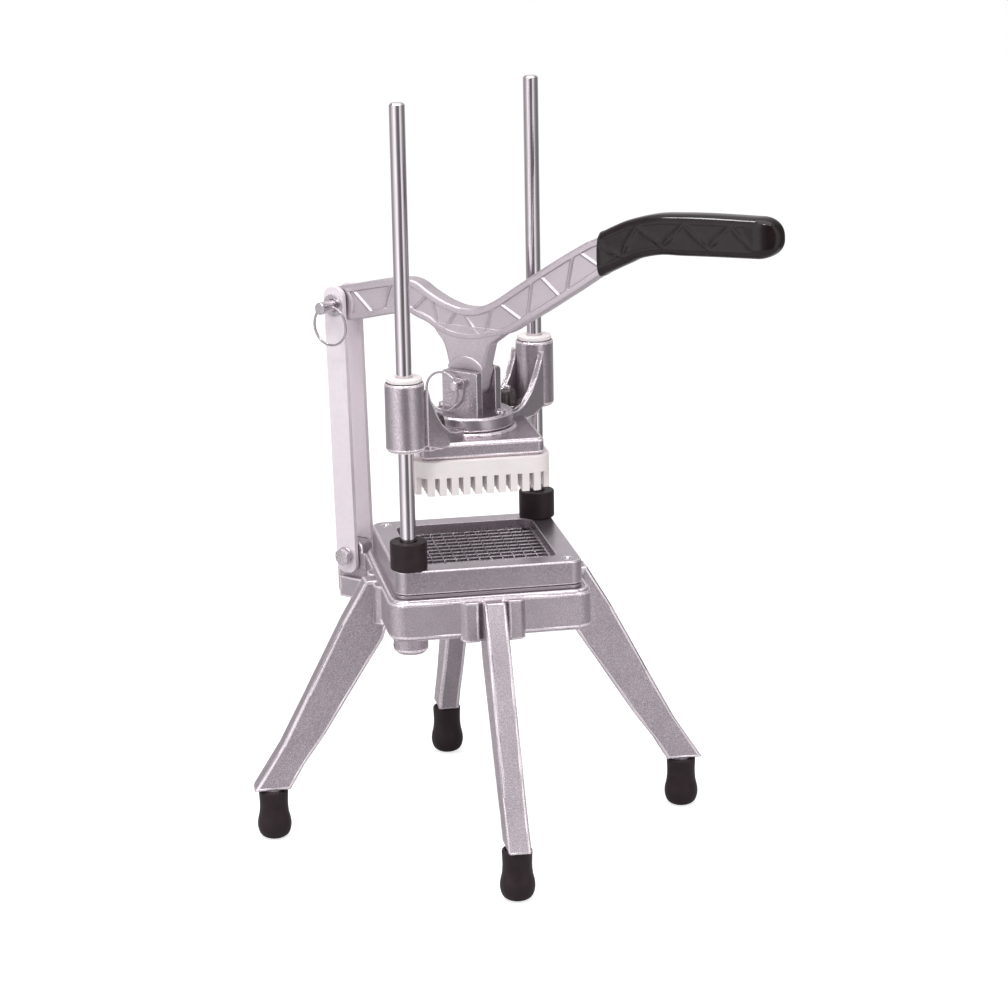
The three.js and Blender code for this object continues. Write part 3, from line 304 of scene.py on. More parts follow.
def rounded(profile, radius, steps=3, closed=False):
    """A profile whose corners give way to parabolas: p + (1 - t)^2 (a - p) + t^2 (b - p), where a and b lie on
    the two sides of the corner p, at the radius or at most 0.45 of the side from it."""
    profile = np.asarray(profile, float)
    corner = profile if closed else profile[1:-1]
    before = (np.roll(profile, 1, 0) if closed else profile[:-2]) - corner
    after = (np.roll(profile, -1, 0) if closed else profile[2:]) - corner
    ends = []
    for way in (before, after):
        length = np.linalg.norm(way, axis=1, keepdims=True)
        ends.append(way / length * np.minimum(radius, 0.45 * length))
    t = np.linspace(0, 1, steps + 1)[None, :, None]
    bends = corner[:, None] + (1 - t) ** 2 * ends[0][:, None] + t ** 2 * ends[1][:, None]
    bends = bends.reshape(-1, 2)
    return bends if closed else np.concatenate([profile[:1], bends, profile[-1:]])


def round_angles(count):
    return np.linspace(0, TURN, count, endpoint=False)


def revolved(name, reach, height, angles, place, finish, along="Z", closed=False):
    """Rings round an axis through the place, in millimetres: reach (cos a, sin a) across the axis and height
    along it, each a grid of rings by angles."""
    reach, height, angles = np.broadcast_arrays(reach, height, angles)
    first, second = reach * np.cos(angles), reach * np.sin(angles)
    local = np.stack([first, second, height] if along == "Z" else [first, height, second], -1)
    points = np.asarray(place) + local * MM
    return surface(name, points, grid_faces(*reach.shape, closed), finish)


def turned(name, profile, place, finish, along="Z", closed=False, edge=0.4, sides=72):
    """A turned piece: its profile of radius against height, with rounded corners, carried round its axis."""
    outline = rounded(profile, edge, closed=closed)
    return even_shading(revolved(name, outline[:, :1], outline[:, 1:], round_angles(sides)[None], place,
                                 finish, along, closed))


def seat(node, along="Z"):
    """The point of a node's axis at its lowest end, from the node's box."""
    low, high = corners(node)
    place = (low + high) / 2
    axis = 2 if along == "Z" else 1
    place[axis] = low[axis]
    return place


def length_of(node, along="Z"):
    low, high = corners(node)
    return float((high - low)[2 if along == "Z" else 1]) / MM


FLAT_UNDER, EASED_FROM, CREASE_FROM = np.radians([0.6, 33, 38])
SHORTEST_RIM = 0.2 * MM


def own_solid(node):
    """A bmesh of a node's solid with its doubles merged."""
    shape = bmesh.new()
    shape.from_mesh(frame["nodes"][node].data)
    bmesh.ops.remove_doubles(shape, verts=shape.verts, dist=2e-5)
    bmesh.ops.dissolve_degenerate(shape, edges=shape.edges, dist=2e-5)
    return shape


def crease(shape):
    """Edges stay sharp where the faces beside them turn by more than the limit."""
    for edge in shape.edges:
        edge.smooth = edge.calc_face_angle(0) < CREASE_FROM


def finished(shape, node, highlight_finish=None):
    """The object made of a bmesh that stands for a node, with the node's finish and, where given, a paler finish
    that paints a highlight on its edges.
    """
    for face in shape.faces:
        face.smooth = True
    mesh = bpy.data.meshes.new(node + "_finished")
    shape.to_mesh(mesh)
    shape.free()
    mesh.materials.append(NODE_FINISH.get(node, SLOT_FINISH[NODE_SLOT[node]]))
    if highlight_finish:
        mesh.materials.append(highlight_finish)
    return stands_for(even_shading(placed(node + "_finished", mesh)), node)


def eased(node, width, merge=0.0, segments=3, highlight_finish=None):
    """A node's own solid with its flat faces joined and all its edges eased by an arc. Where a merge distance is
    given, shorter edges collapse first, so that none of them holds the arcs back."""
    shape = own_solid(node)
    bmesh.ops.dissolve_limit(shape, angle_limit=FLAT_UNDER, verts=shape.verts, edges=shape.edges)
    if merge:
        bmesh.ops.remove_doubles(shape, verts=shape.verts, dist=merge)
    sharp = [edge for edge in shape.edges if edge.calc_face_angle(0) > EASED_FROM]
    # Where a highlight finish is given, the arcs take it: a painted highlight along the edges.
    bmesh.ops.bevel(shape, geom=sharp, offset=width, offset_type="OFFSET", segments=segments, profile=0.5,
                    affect="EDGES", clamp_overlap=True, loop_slide=True, material=1 if highlight_finish else -1)
    crease(shape)
    return finished(shape, node, highlight_finish)


def edge_beads(ends, normals, width):
    """Points and faces of closed beads over edges that point outwards. A bead is a four-sided bar: its fold lies
    on the edge's line, its two sides the width times the direction down each face, all lifted by a few hundredths
    of a millimetre, and its foot half a width inside. The lift differs between neighbours, so none coincide."""
    along = ends[:, 1] - ends[:, 0]
    down = np.cross(normals, along[:, None])
    down /= np.linalg.norm(down, axis=2, keepdims=True)
    down *= -np.sign((down * normals[:, ::-1]).sum(axis=2, keepdims=True))
    lift = ((0.02 + 0.012 * (np.arange(len(ends)) % 4)) * MM)[:, None]
    backward = (np.cross(along, -down[:, 0]) * normals[:, 0]).sum(axis=1) < 0
    ends = np.where(backward[:, None, None], ends[:, ::-1], ends)
    fold = normals.sum(axis=1) / np.maximum(1 + (normals[:, 0] * normals[:, 1]).sum(axis=1), 0.3)[:, None]
    rows = [width * down[:, 0] + lift * normals[:, 0], lift * fold, width * down[:, 1] + lift * normals[:, 1],
            0.5 * width * down.sum(axis=1)]
    points = np.stack([ends[:, side] + row for row in rows for side in (0, 1)], axis=1).reshape(-1, 3)
    quads = np.array([[0, 1, 3, 2], [2, 3, 5, 4], [4, 5, 7, 6], [6, 7, 1, 0], [0, 2, 4, 6], [7, 5, 3, 1]])
    return points, (8 * np.arange(len(ends))[:, None, None] + quads).reshape(-1, 4)


def highlight_beaded(node, width):
    """A node's own solid with rounded beads along its outward edges, in a paler finish that paints a highlight on
    them. A bead is shaded smoothly over its fold, and has sharp borders beside it and at its first end."""
    shape = own_solid(node)
    crease(shape)
    rims = [edge for edge in shape.edges
            if edge.is_convex and not edge.smooth and edge.calc_length() > SHORTEST_RIM]
    ends = np.array([[vertex.co[:] for vertex in edge.verts] for edge in rims])
    normals = np.array([[face.normal[:] for face in edge.link_faces] for edge in rims])
    points, quads = edge_beads(ends, normals, width)
    solid_points = np.array([vertex.co[:] for vertex in shape.verts])
    points = np.clip(points, solid_points.min(axis=0), solid_points.max(axis=0))
    # The beads take the paler finish, a painted highlight.
    made = [shape.verts.new(point) for point in points]
    for quad in quads:
        shape.faces.new([made[index] for index in quad]).material_index = 1
    for start, end in ((0, 1), (4, 5), (0, 2), (2, 4)):
        for pair in zip(made[start::8], made[end::8]):
            shape.edges.get(pair).smooth = False
    return finished(shape, node, PAINTED_EDGE_HIGHLIGHT)


# Castings, plates and bars keep their solids, with eased or beaded edges; the beads and the frame's eased edges
# carry a painted highlight: width and merge distance

EASED = {
    "blade_frame": (1.2, 0), "clamp_plate": (0.3, 0), "link_bar_near": (0.6, 0), "link_bar_far": (0.6, 0),
    "pusher_block": (0.5, 0.05),
}
HIGHLIGHT_BEAD_WIDTHS = {"base_casting": 1.5, "head_casting": 1.1, "clevis": 0.6}
for node, (width, merge) in EASED.items():
    eased(node, width * MM, merge * MM, highlight_finish=PAINTED_EDGE_HIGHLIGHT if node == "blade_frame" else None)
for node, width in HIGHLIGHT_BEAD_WIDTHS.items():
    highlight_beaded(node, width * MM)
for node, obj in frame["nodes"].items():
    obj.data.materials.clear()
    obj.data.materials.append(NODE_FINISH.get(node, SLOT_FINISH[NODE_SLOT[node]]))


# Guide rods, collars, bushings and feet

ROD_RADIUS, ROD_CHAMFER = 6.15, 1.5
COLLAR_BORE, COLLAR_RADIUS, COLLAR_EDGE, COLLAR_SLOT = 6.9, 14.8, 1.0, 1.6
BUSH_BORE, BUSH_BARREL, BUSH_RADIUS, BUSH_LENGTH, LOWER_FLANGE = 6.5, 8.7, 14.2, 16.0, 1.8
FOOT_BULGE, FOOT_SOCKET, SOCKET_DEPTH = 14.2, 8.9, 26.0


def guide_rod(node):
    """A straight rod with a chamfered top."""
    height = length_of(node)
    profile = [(0, 0), (ROD_RADIUS, 0), (ROD_RADIUS, height - ROD_CHAMFER),
               (ROD_RADIUS - ROD_CHAMFER, height), (0, height)]
    return stands_for(turned(node + "_turned", profile, seat(node), ROD_STEEL, edge=0.35, sides=96), node)


def slotted_collar(node):
    """A ring with a slot across one side of its top. Four of its columns keep to the slot's edges, at
    a = pi - asin(y / r) for an offset y, and the columns between them lie half a slot lower."""
    height = length_of(node)
    half = COLLAR_SLOT / 2
    outline = rounded([(COLLAR_BORE, 0), (COLLAR_RADIUS, 0), (COLLAR_RADIUS, height), (COLLAR_BORE, height)],
                      COLLAR_EDGE, closed=True)
    top = outline[:, 1] > height - 2 * COLLAR_EDGE
    radii = outline[:, :1]
    offsets = np.array([-half - 0.02, -half, half, half + 0.02])
    slot = math.pi - np.arcsin(offsets[None] / radii)[:, ::-1]
    rest = np.linspace(math.pi + 0.14, 3 * math.pi - 0.14, 88)[None] + np.zeros_like(radii)
    angles = np.concatenate([slot, rest], 1)
    sunk = np.zeros_like(angles)
    sunk[np.ix_(top, [1, 2])] = half
    obj = revolved(node + "_slotted", radii, outline[:, 1:] - sunk, angles, seat(node),
                   SLOT_FINISH["rubber"], closed=True)
    return stands_for(even_shading(obj), node)


def bush(node, upper):
    """A flanged bushing: the flange is on top of the upper ones and under the lower ones."""
    height = length_of(node)
    shoulder = BUSH_LENGTH if upper else LOWER_FLANGE
    foot, head = (BUSH_BARREL, BUSH_RADIUS) if upper else (BUSH_RADIUS, BUSH_BARREL)
    profile = [(BUSH_BORE, 0), (foot, 0), (foot, shoulder), (head, shoulder), (head, height), (BUSH_BORE, height)]
    edge = 1.0 if upper else 0.4
    return stands_for(turned(node + "_turned", profile, seat(node), NYLON, closed=True, edge=edge), node)


def rubber_foot(node):
    """A cup on the leg's plug, waisted above a round bulging tread."""
    height = length_of(node)
    outer_shares = [(0, 0), (0.5, 0), (0.86, 0.075), (1.0, 0.24), (0.97, 0.38), (0.86, 0.52), (0.825, 0.68),
                    (0.84, 0.86), (0.865, 1.0)]
    profile = [(radius * FOOT_BULGE, share * height) for radius, share in outer_shares]
    profile += [(FOOT_SOCKET, height), (FOOT_SOCKET, height - SOCKET_DEPTH), (0, height - SOCKET_DEPTH)]
    return stands_for(turned(node + "_moulded", profile, seat(node), RUBBER, edge=3.2, sides=64), node)


for side in SIDES:
    guide_rod("guide_rod_" + side)
    slotted_collar("stop_collar_" + side)
    bush("upper_bushing_" + side, True)
    bush("lower_bushing_" + side, False)
for corner in ("front_right", "rear_right", "rear_left", "front_left"):
    rubber_foot("foot_" + corner)


# Blades

PITCH, BLADE_COUNT, BLADE_THICKNESS, LAP = 9.525, 11, 0.8, 0.02
RAIL_INNER, RAIL_WIDTH, RAIL_GAP = 55.75, 5.4, 0.3
GRIND = 0.9
GRID_MIDDLE = np.array([LEVER_PIVOT[0], 0.0, 0.0])


def on_grid(local, angle):
    """Points in millimetres from the grid's middle, turned by an angle round the upright line through it."""
    turn = np.array([[math.cos(angle), math.sin(angle), 0], [-math.sin(angle), math.cos(angle), 0], [0, 0, 1]])
    return local.reshape(-1, 3) @ turn * MM + GRID_MIDDLE


def blade_strips(stations, heights):
    """Blades side by side: the section is a plate whose top is ground to an edge, carried along the blade's
    length through stations where its foot and top step. One array holds all blades, one pitch apart."""
    foot, top = heights[:, :1], heights[:, 1:]
    half = BLADE_THICKNESS / 2
    across = np.array([-half, half, half, 0.0, -half])
    level = np.concatenate([foot, foot, top - GRIND, top, top - GRIND], 1)
    places = (np.arange(BLADE_COUNT) - (BLADE_COUNT - 1) / 2) * PITCH
    along = np.broadcast_to(stations[:, None], level.shape)
    strip = np.stack(np.broadcast_arrays(along[None], across[None, None] + places[:, None, None], level[None]), -1)
    rows, columns = level.shape
    faces = grid_faces(rows, columns)
    steps = (np.arange(BLADE_COUNT) * rows * columns)[:, None, None]
    quads = (faces[None] + steps).reshape(-1, 4)
    first = np.arange(columns)
    ends = np.concatenate([first[None, ::-1], first[None] + (rows - 1) * columns])
    return strip, quads, (ends[None] + steps).reshape(-1, columns)


def blade_set(node, angle, notched):
    """A set of crossing blades. The notched ones step down at each crossing; the slim ones lie in the notches."""
    low, high = corners(node)
    bottom, height = low[2] / MM, (high[2] - low[2]) / MM
    half = RAIL_INNER + RAIL_WIDTH / 2
    middle = height / 2
    if notched:
        reach = BLADE_THICKNESS / 2 + LAP
        crossings = (np.arange(BLADE_COUNT) - (BLADE_COUNT - 1) / 2) * PITCH
        steps = crossings[:, None] + np.array([-reach, -reach, reach, reach])
        stations = np.concatenate([[-half], steps.ravel(), [half]])
        notch = np.tile([height, middle - LAP, middle - LAP, height], BLADE_COUNT)
        tops = np.concatenate([[height], notch, [height]])
        heights = np.stack([np.zeros_like(tops), tops], 1)
    else:
        stations = np.array([-half, half])
        heights = np.array([[middle, height], [middle, height]])
    strip, quads, ends = blade_strips(stations, heights)
    points = on_grid(strip + np.array([0, 0, bottom]), angle)
    mesh = bpy.data.meshes.new(node + "_ground")
    mesh.from_pydata(points.tolist(), [], quads.tolist() + ends.tolist())
    shape = bmesh.new()
    shape.from_mesh(mesh)
    bmesh.ops.recalc_face_normals(shape, faces=shape.faces)
    shape.to_mesh(mesh)
    shape.free()
    mesh.materials.append(BLADE)
    mesh.materials.append(BLADE_EDGE)
    is_edge = np.zeros(len(mesh.polygons), int)
    columns = strip.shape[2]
    is_edge[:len(quads)] = np.isin(np.arange(len(quads)) % columns, (2, 3))
    mesh.polygons.foreach_set("material_index", is_edge)
    return stands_for(placed(node + "_ground", mesh), node)


def crimped_rails(node, angle):
    """The two rails that hold a set's ends: a folded strip, pressed in between the blades, so that its inner face
    stands back by a share of (1 - cos) / 2, from none at each blade to the most at the middle of the next gap."""
    low, high = corners(node)
    bottom, height = low[2] / MM, (high[2] - low[2]) / MM
    length = (BLADE_COUNT - 1) * PITCH + 5 * BLADE_THICKNESS
    along = np.linspace(-length / 2, length / 2, 161)
    section = rounded([(0, 0), (RAIL_WIDTH, 0), (RAIL_WIDTH, height), (0, height)], 0.8, closed=True)
    start = RAIL_INNER + RAIL_GAP
    crimp = 0.35 * (1 - np.cos(TURN * (along / PITCH))) / 2
    side = np.where(section[:, 0] < 1.0, 1.0, 0.0)
    for hand in (-1, 1):
        across = hand * (start + section[None, :, 0] + crimp[:, None] * side[None])
        level = np.broadcast_to(bottom + section[None, :, 1], across.shape)
        run = np.broadcast_to(along[:, None], across.shape)
        points = with_ends(np.stack([across, run, level], -1))
        label = f"{node}_rail_{'a' if hand < 0 else 'b'}"
        stands_for(even_shading(surface(label, on_grid(points, angle), grid_faces(*points.shape[:2]), RAIL)), node)


blade_set("blade_set_notched", EIGHTH, True)
blade_set("blade_set_slim", 3 * EIGHTH, False)
crimped_rails("blade_set_notched", EIGHTH)
crimped_rails("blade_set_slim", 3 * EIGHTH)


# Screws, nuts, washers, pins and rings

def six_sided(flats, angles):
    """The reach of a hexagon at an angle: half its flats over the cosine of the angle from the nearest flat."""
    return flats / 2 / np.cos((angles + math.pi / 6) % (math.pi / 3) - math.pi / 6)


def chamfered_hexagon(name, flats, bottom, top, place, finish, bore=0.0, base=0.0, along="Y"):
    """A hexagon between two heights whose free end is cut by a 30 degree cone, with a bore or a closed face."""
    angles = round_angles(72)
    hexagon = six_sided(flats, angles)
    face = flats / 2 * 0.97
    way = 1 if top > bottom else -1
    drop = way * np.maximum(hexagon - face, 0) * math.tan(math.pi / 6)
    ones = np.ones_like(angles)
    reach = np.stack([bore * ones, hexagon, hexagon, face * ones, bore * ones])
    height = np.stack([bottom * ones, bottom * ones, top - drop, top * ones, top * ones])
    return even_shading(revolved(name, reach, height, angles[None], place, finish, along, closed=bore > 0))


def socket_screw(node, head_radius, head_height, shank_radius, socket):
    """A screw with a rounded cylinder head and a hexagon socket: the socket's rings take the hexagon's reach."""
    height = length_of(node)
    outer = rounded([(0, 0), (shank_radius, 0), (shank_radius, height - head_height),
                     (head_radius, height - head_height), (head_radius, height), (socket, height)], 0.5)
    angles = round_angles(72)
    reach = np.concatenate([outer[:-1, :1] * np.ones_like(angles), six_sided(2 * socket, angles)[None],
                            six_sided(2 * socket, angles)[None], np.zeros_like(angles)[None]])
    level = np.concatenate([outer[:-1, 1], [height, height - 0.7 * head_height, height - 0.8 * head_height]])
    return stands_for(even_shading(revolved(node + "_turned", reach, level[:, None], angles[None], seat(node),
                                            PLAIN_STEEL)), node)


def threaded_shank(name, radius, bottom, top, place, along, thread, pitch=0.8, depth=0.22):
    """A shank whose last stretch is threaded: r = R - depth |2 frac(h / pitch - a / turn) - 1|, a helix."""
    start = top - thread
    plain = np.array([[0, bottom], [radius - 0.4, bottom], [radius, bottom + 0.4], [radius, start]])
    rows = np.linspace(start, top, int(thread / pitch * 8) + 1)
    angles = round_angles(32)
    wave = np.abs(2 * ((rows[:, None] / pitch - angles[None] / TURN) % 1.0) - 1)
    ramped = np.minimum(1.0, np.minimum(rows - start, top - rows + 0.3) / pitch)[:, None]
    ridged = radius - depth * wave * ramped
    reach = np.concatenate([plain[:, :1] * np.ones_like(angles), ridged, np.zeros_like(angles)[None]])
    level = np.concatenate([plain[:, 1], rows, [top]])[:, None]
    return revolved(name, reach, level, angles[None], place, PLAIN_STEEL, along)


def washer(node, bore, radius, along):
    height = length_of(node, along)
    profile = [(bore, 0), (radius, 0), (radius, height), (bore, height)]
    return stands_for(turned(node + "_turned", profile, seat(node, along), PLAIN_STEEL, along, True, 0.3), node)


def plain_pin(node, radius, chamfer=0.7):
    """A pin along Y with chamfered ends."""
    length = length_of(node, "Y")
    profile = [(0, 0), (radius - chamfer, 0), (radius, chamfer), (radius, length - chamfer),
               (radius - chamfer, length), (0, length)]
    return stands_for(turned(node + "_turned", profile, seat(node, "Y"), PLAIN_STEEL, "Y", edge=0.35), node)


def split_ring(node, radius, wire=0.85):
    """Two turns of flat sprung wire: the path turns twice round at one radius while it steps across by a
    smooth s = 3 t^2 - 2 t^3 near the end of the first turn, and the section is an ellipse round the path."""
    low, high = corners(node)
    place = (low + high) / 2
    turns = np.linspace(0, 2 * TURN, 193)
    t = np.clip((turns / TURN - 0.9) / 0.2, 0, 1)
    offset = (3 * t ** 2 - 2 * t ** 3 - 0.5) * wire
    section = round_angles(12)
    reach = radius + wire * np.cos(section)[None] + 0 * turns[:, None]
    across = offset[:, None] + wire / 2 * np.sin(section)[None]
    path = np.stack([reach * np.cos(turns)[:, None], across, reach * np.sin(turns)[:, None]], -1)
    path = with_ends(path)
    return stands_for(surface(node + "_wound", place + path * MM, grid_faces(*path.shape[:2]), WIRE), node)


def thumb_nut(node, radius=7.5, groove=0.8, grooves=10, bore=3.3):
    """A domed nut, fluted at its side: r = R - g (1 - cos n a) / 2, with the flutes fading up its crown."""
    height = length_of(node)
    outline = rounded([(bore, 0), (radius - 0.6, 0), (radius, 0.8), (radius, 0.62 * height),
                       (0.82 * radius, 0.88 * height), (0.45 * radius, height), (bore, height)], 1.2, closed=True)
    angles = round_angles(grooves * 12)
    flutes = groove * (1 - np.cos(grooves * angles)) / 2
    share = np.where(outline[:, 0] > 0.75 * radius, 1.0, 0.0) * np.clip(1.6 - outline[:, 1] / height * 1.4, 0, 1)
    reach = outline[:, :1] - share[:, None] * flutes[None]
    return stands_for(revolved(node + "_fluted", reach, outline[:, 1:], angles[None], seat(node), DARK_METAL_AND_HOLE_SHADE,
                               closed=True), node)


BOLT_RADIUS, BOLT_FLANGE_RADIUS, BOLT_FLATS = 4.0, 7.6, 13.0


def foot_bolt(node):
    """A flanged bolt along Y: domed hexagon head, its flange, and a shank with a thread at the nut's end."""
    low, high = corners(node)
    place = np.array([FOOT_PIVOT[0], low[1], FOOT_PIVOT[2]])
    length = (high[1] - low[1]) / MM
    head = chamfered_hexagon(node + "_head", BOLT_FLATS, 5.2, 0.0, place, PLAIN_STEEL)
    flange = turned(node + "_flange", [(0, 5.0), (BOLT_FLANGE_RADIUS, 5.0), (BOLT_FLANGE_RADIUS, 6.3), (0, 6.3)],
                    place, PLAIN_STEEL, "Y", edge=0.5)
    shank = threaded_shank(node + "_shank", BOLT_RADIUS, 6.2, length, place, "Y", 9.0)
    return [stands_for(piece, node) for piece in (head, flange, shank)]


def foot_nut(node):
    low, high = corners(node)
    place = np.array([FOOT_PIVOT[0], low[1], FOOT_PIVOT[2]])
    height = (high[1] - low[1]) / MM
    nut = chamfered_hexagon(node + "_cut", BOLT_FLATS, 0.0, height, place, PLAIN_STEEL, bore=4.3)
    return stands_for(nut, node)


for side in SIDES:
    stud = "pusher_stud_" + side
    stands_for(threaded_shank(stud + "_cut", 3.0, 0.0, length_of(stud), seat(stud), "Z", 18.0), stud)
    washer("pusher_washer_" + side, 3.3, 8.6, "Z")
    thumb_nut("thumb_nut_" + side)
for side in ("link_side", "grip_side"):
    socket_screw("clevis_screw_" + side, 4.8, 3.0, 2.6, 1.9)
    socket_screw("frame_screw_" + side, 4.2, 1.6, 2.6, 1.7)
washer("tail_pin_washer", 5.3, 9.2, "Y")
washer("link_foot_washer", 4.3, 7.6, "Y")
plain_pin("tail_pin", 5.0)
plain_pin("tail_pin_tip", 5.0, 2.2)
plain_pin("cross_pin", 4.0)
split_ring("tail_pin_ring", 16.2)
split_ring("cross_pin_ring", 15.6)
foot_bolt("link_foot_bolt")
foot_nut("link_foot_nut")


# Grip

GRIP_REACH, GRIP_RISE = 129.3, 116.2
GRIP_PATH_SHARES = np.array([[0, 0, 0.853], [0.123, 0.327, 0.867], [0.2235, 0.563, 0.85], [0.373, 0.76, 0.87],
                             [0.52, 0.823, 0.9], [0.71, 0.885, 0.9], [1, 0.95, 0.87]])
CORE_LENGTH, CORE_RISE, CORE_DEPTH = 138.7, 26.0, 15.0
GRIP_WALL, GRIP_HALF, GRIP_CAP = 3.3, 12.0, 19.6
CORE_HALF, CORE_GAP = 7.8, 0.3


def smooth_run(points, count):
    """A curve through points: between two of them, the Hermite cubic whose slopes are the central differences."""
    slopes = np.gradient(points, axis=0)
    s = np.linspace(0, len(points) - 1, count)
    i = np.minimum(s.astype(int), len(points) - 2)
    t = (s - i)[:, None]
    return ((2 * t ** 3 - 3 * t ** 2 + 1) * points[i] + (t ** 3 - 2 * t ** 2 + t) * slopes[i]
            + (3 * t ** 2 - 2 * t ** 3) * points[i + 1] + (t ** 3 - t ** 2) * slopes[i + 1])


def dipped_grip(node, rows=150, columns=88, ribs=7):
    """A coating carried along the lever's core. Its section is |c|^0.6 across and |s|^0.7 up for angles with
    cosine c and sine s; its end shrinks as sqrt(1 - u^2); its flanks sink between zigzag ribs, where the
    core's pockets lie under it; and its inside follows the core back from the mouth."""
    core = smooth_run(GRIP_PATH_SHARES, rows) * np.array([CORE_LENGTH, CORE_RISE, CORE_DEPTH])
    core += np.array([GRIP_REACH, GRIP_RISE, 0])
    slope = np.gradient(core[:, :2], axis=0)
    slope /= np.linalg.norm(slope, axis=1, keepdims=True)
    angles = round_angles(columns)
    c, s = np.cos(angles), np.sin(angles)
    across_unit = np.sign(c) * np.abs(c) ** 0.6
    up_unit = np.sign(s) * np.abs(s) ** 0.7
    length = np.concatenate([[0], np.cumsum(np.linalg.norm(np.diff(core[:, :2], axis=0), axis=1))])
    u = length / length[-1]
    zigzag = np.abs(2 * ((u * ribs / 2) % 1.0) - 1) * 1.1 - 0.55
    nearness = np.exp(-((up_unit[None] - zigzag[:, None]) / 0.12) ** 2)
    pocket = np.clip((0.62 - np.abs(up_unit[None])) / 0.14, 0, 1) * np.clip(u[:, None] / 0.06, 0, 1)
    pocket = pocket * np.clip((1 - u[:, None]) / 0.06, 0, 1)
    sunk = 1.3 * pocket * (1 - nearness)
    lip = 0.5 * np.exp(-(length / 2.2) ** 2)[:, None]
    half = (GRIP_HALF - 0.5) + lip - sunk
    depth = core[:, 2:] + GRIP_WALL - 0.5 + lip
    outer = np.stack([half * across_unit[None], depth * up_unit[None]], -1)
    normals = np.stack([-slope[:, 1], slope[:, 0]], -1)
    upright = np.clip(1 - length / 12.0, 0, 1)[:, None]
    normals = normals * (1 - upright) + np.array([0, 1 / slope[0, 0]]) * upright
    cap_u = np.sin(np.linspace(0, math.pi / 2, 14))[1:]
    end, end_normal = core[-1, :2], normals[-1]
    cap_middle = end + cap_u[:, None] * GRIP_CAP * np.array([1.0, GRIP_WALL / 2 / GRIP_CAP])
    shrink = np.sqrt(1 - cap_u ** 2)[:, None]
    cap = np.stack([shrink * half[-1] * across_unit[None], shrink * depth[-1] * up_unit[None]], -1)
    inner_across = CORE_HALF * np.sign(c) * np.minimum(1, 1.35 * np.abs(c) ** 0.5)
    inner_up = np.sign(s) * np.minimum(1, 1.35 * np.abs(s) ** 0.5)
    inner = np.stack(np.broadcast_arrays(inner_across[None], (core[:, 2:] + CORE_GAP) * inner_up[None]), -1)[::-1]
    sections = np.concatenate([np.zeros((1, columns, 2)), inner, outer, cap])
    middles = np.concatenate([core[-1:, :2], core[::-1, :2], core[:, :2], cap_middle])
    ups = np.concatenate([normals[-1:], normals[::-1], normals, np.repeat(end_normal[None], len(cap), 0)])
    x = middles[:, None, 0] + ups[:, None, 0] * sections[..., 1]
    z = middles[:, None, 1] + ups[:, None, 1] * sections[..., 1]
    points = LEVER_PIVOT + np.stack([x, sections[..., 0], z], -1) * MM
    return stands_for(surface(node + "_dipped", points, grid_faces(*x.shape), VINYL), node)


dipped_grip("lever_grip")


# Lever

TAIL_REACH, TAIL_RISE, BEAM_DEPTH = 128.8, 50.7, 15.0
TAIL_PATH_SHARES = np.array([[-1, 1, 0.92], [-0.87, 1.057, 0.97], [-0.687, 1.166, 0.965], [-0.543, 1.243, 0.945],
                             [-0.427, 1.272, 0.925], [-0.342, 1.185, 0.87], [-0.256, 1.097, 0.815],
                             [-0.171, 1.002, 0.87], [-0.07, 0.941, 0.877]])
ARM_PATH_SHARES = np.array([[0.03, 0.409, 0.873], [0.125, 0.429, 0.86], [0.265, 0.485, 0.953],
                            [0.4, 0.579, 0.973], [0.53, 0.67, 1], [0.665, 0.766, 1], [0.8, 0.861, 0.987],
                            [0.97, 0.979, 0.92]])
LEVER_HALF, LEVER_EDGE, LEVER_RIM, POCKET_DEPTH, POCKET_WALL = 7.5, 2.2, 5.2, 1.5, 0.7
EYE_RADIUS, EYE_BORE, BOSS_DISC, BOSS_HALF, CROSS_BORE = 13.8, 5.3, 21.5, 8.6, 4.3
TONGUE_RADIUS, TONGUE_DROP = 13.4, 0.35
TONGUE_LEFT = np.array([[-1, 0], [-1.26, 0.74], [-1.48, 1.66], [-1.75, 2.33], [-2.22, 2.87], [-2.6, 3.5]])
TONGUE_RIGHT = np.array([[1, 0], [1.26, 0.87], [1.575, 2.07], [1.7, 2.42], [2.02, 2.67], [2.9, 3.3], [3.3, 3.5]])
# Where each zigzag rib meets the pocket's upper and lower edge, along the lever from its pivot
RIBS = np.array([[-112.8, -95.3], [-74.4, -81.3], [-68, -57], [-38.6, -51.8], [-32.7, -27.3], [-9.9, -20.7],
                 [-0.6, 12.4], [25.2, 18], [34.5, 53], [64.4, 60.4], [73.6, 89.9], [103.5, 97.9], [110.8, 129.5]])


def lever_path():
    """The lever's middle line and half depth from its tail eye to the end of its core: a curve through its
    stations, sampled at even steps up to the grip and at wider ones inside it."""
    tail = TAIL_PATH_SHARES * (TAIL_REACH, TAIL_RISE, BEAM_DEPTH)
    arm = ARM_PATH_SHARES * (GRIP_REACH, GRIP_RISE, BEAM_DEPTH)
    core = GRIP_PATH_SHARES * (CORE_LENGTH, CORE_RISE, CORE_DEPTH) + (GRIP_REACH, GRIP_RISE, 0)
    fine = smooth_run(np.concatenate([tail, arm, core]), 4000)
    run = np.concatenate([[0], np.cumsum(np.linalg.norm(np.diff(fine[:, :2], axis=0), axis=1))])
    mouth = np.interp(GRIP_REACH + 12, fine[:, 0], run)
    steps = np.concatenate([np.arange(EYE_BORE + 0.8, mouth, 0.55), np.linspace(mouth, run[-1], 40)])
    return steps, np.stack([np.interp(steps, run, fine[:, k]) for k in range(3)], -1)


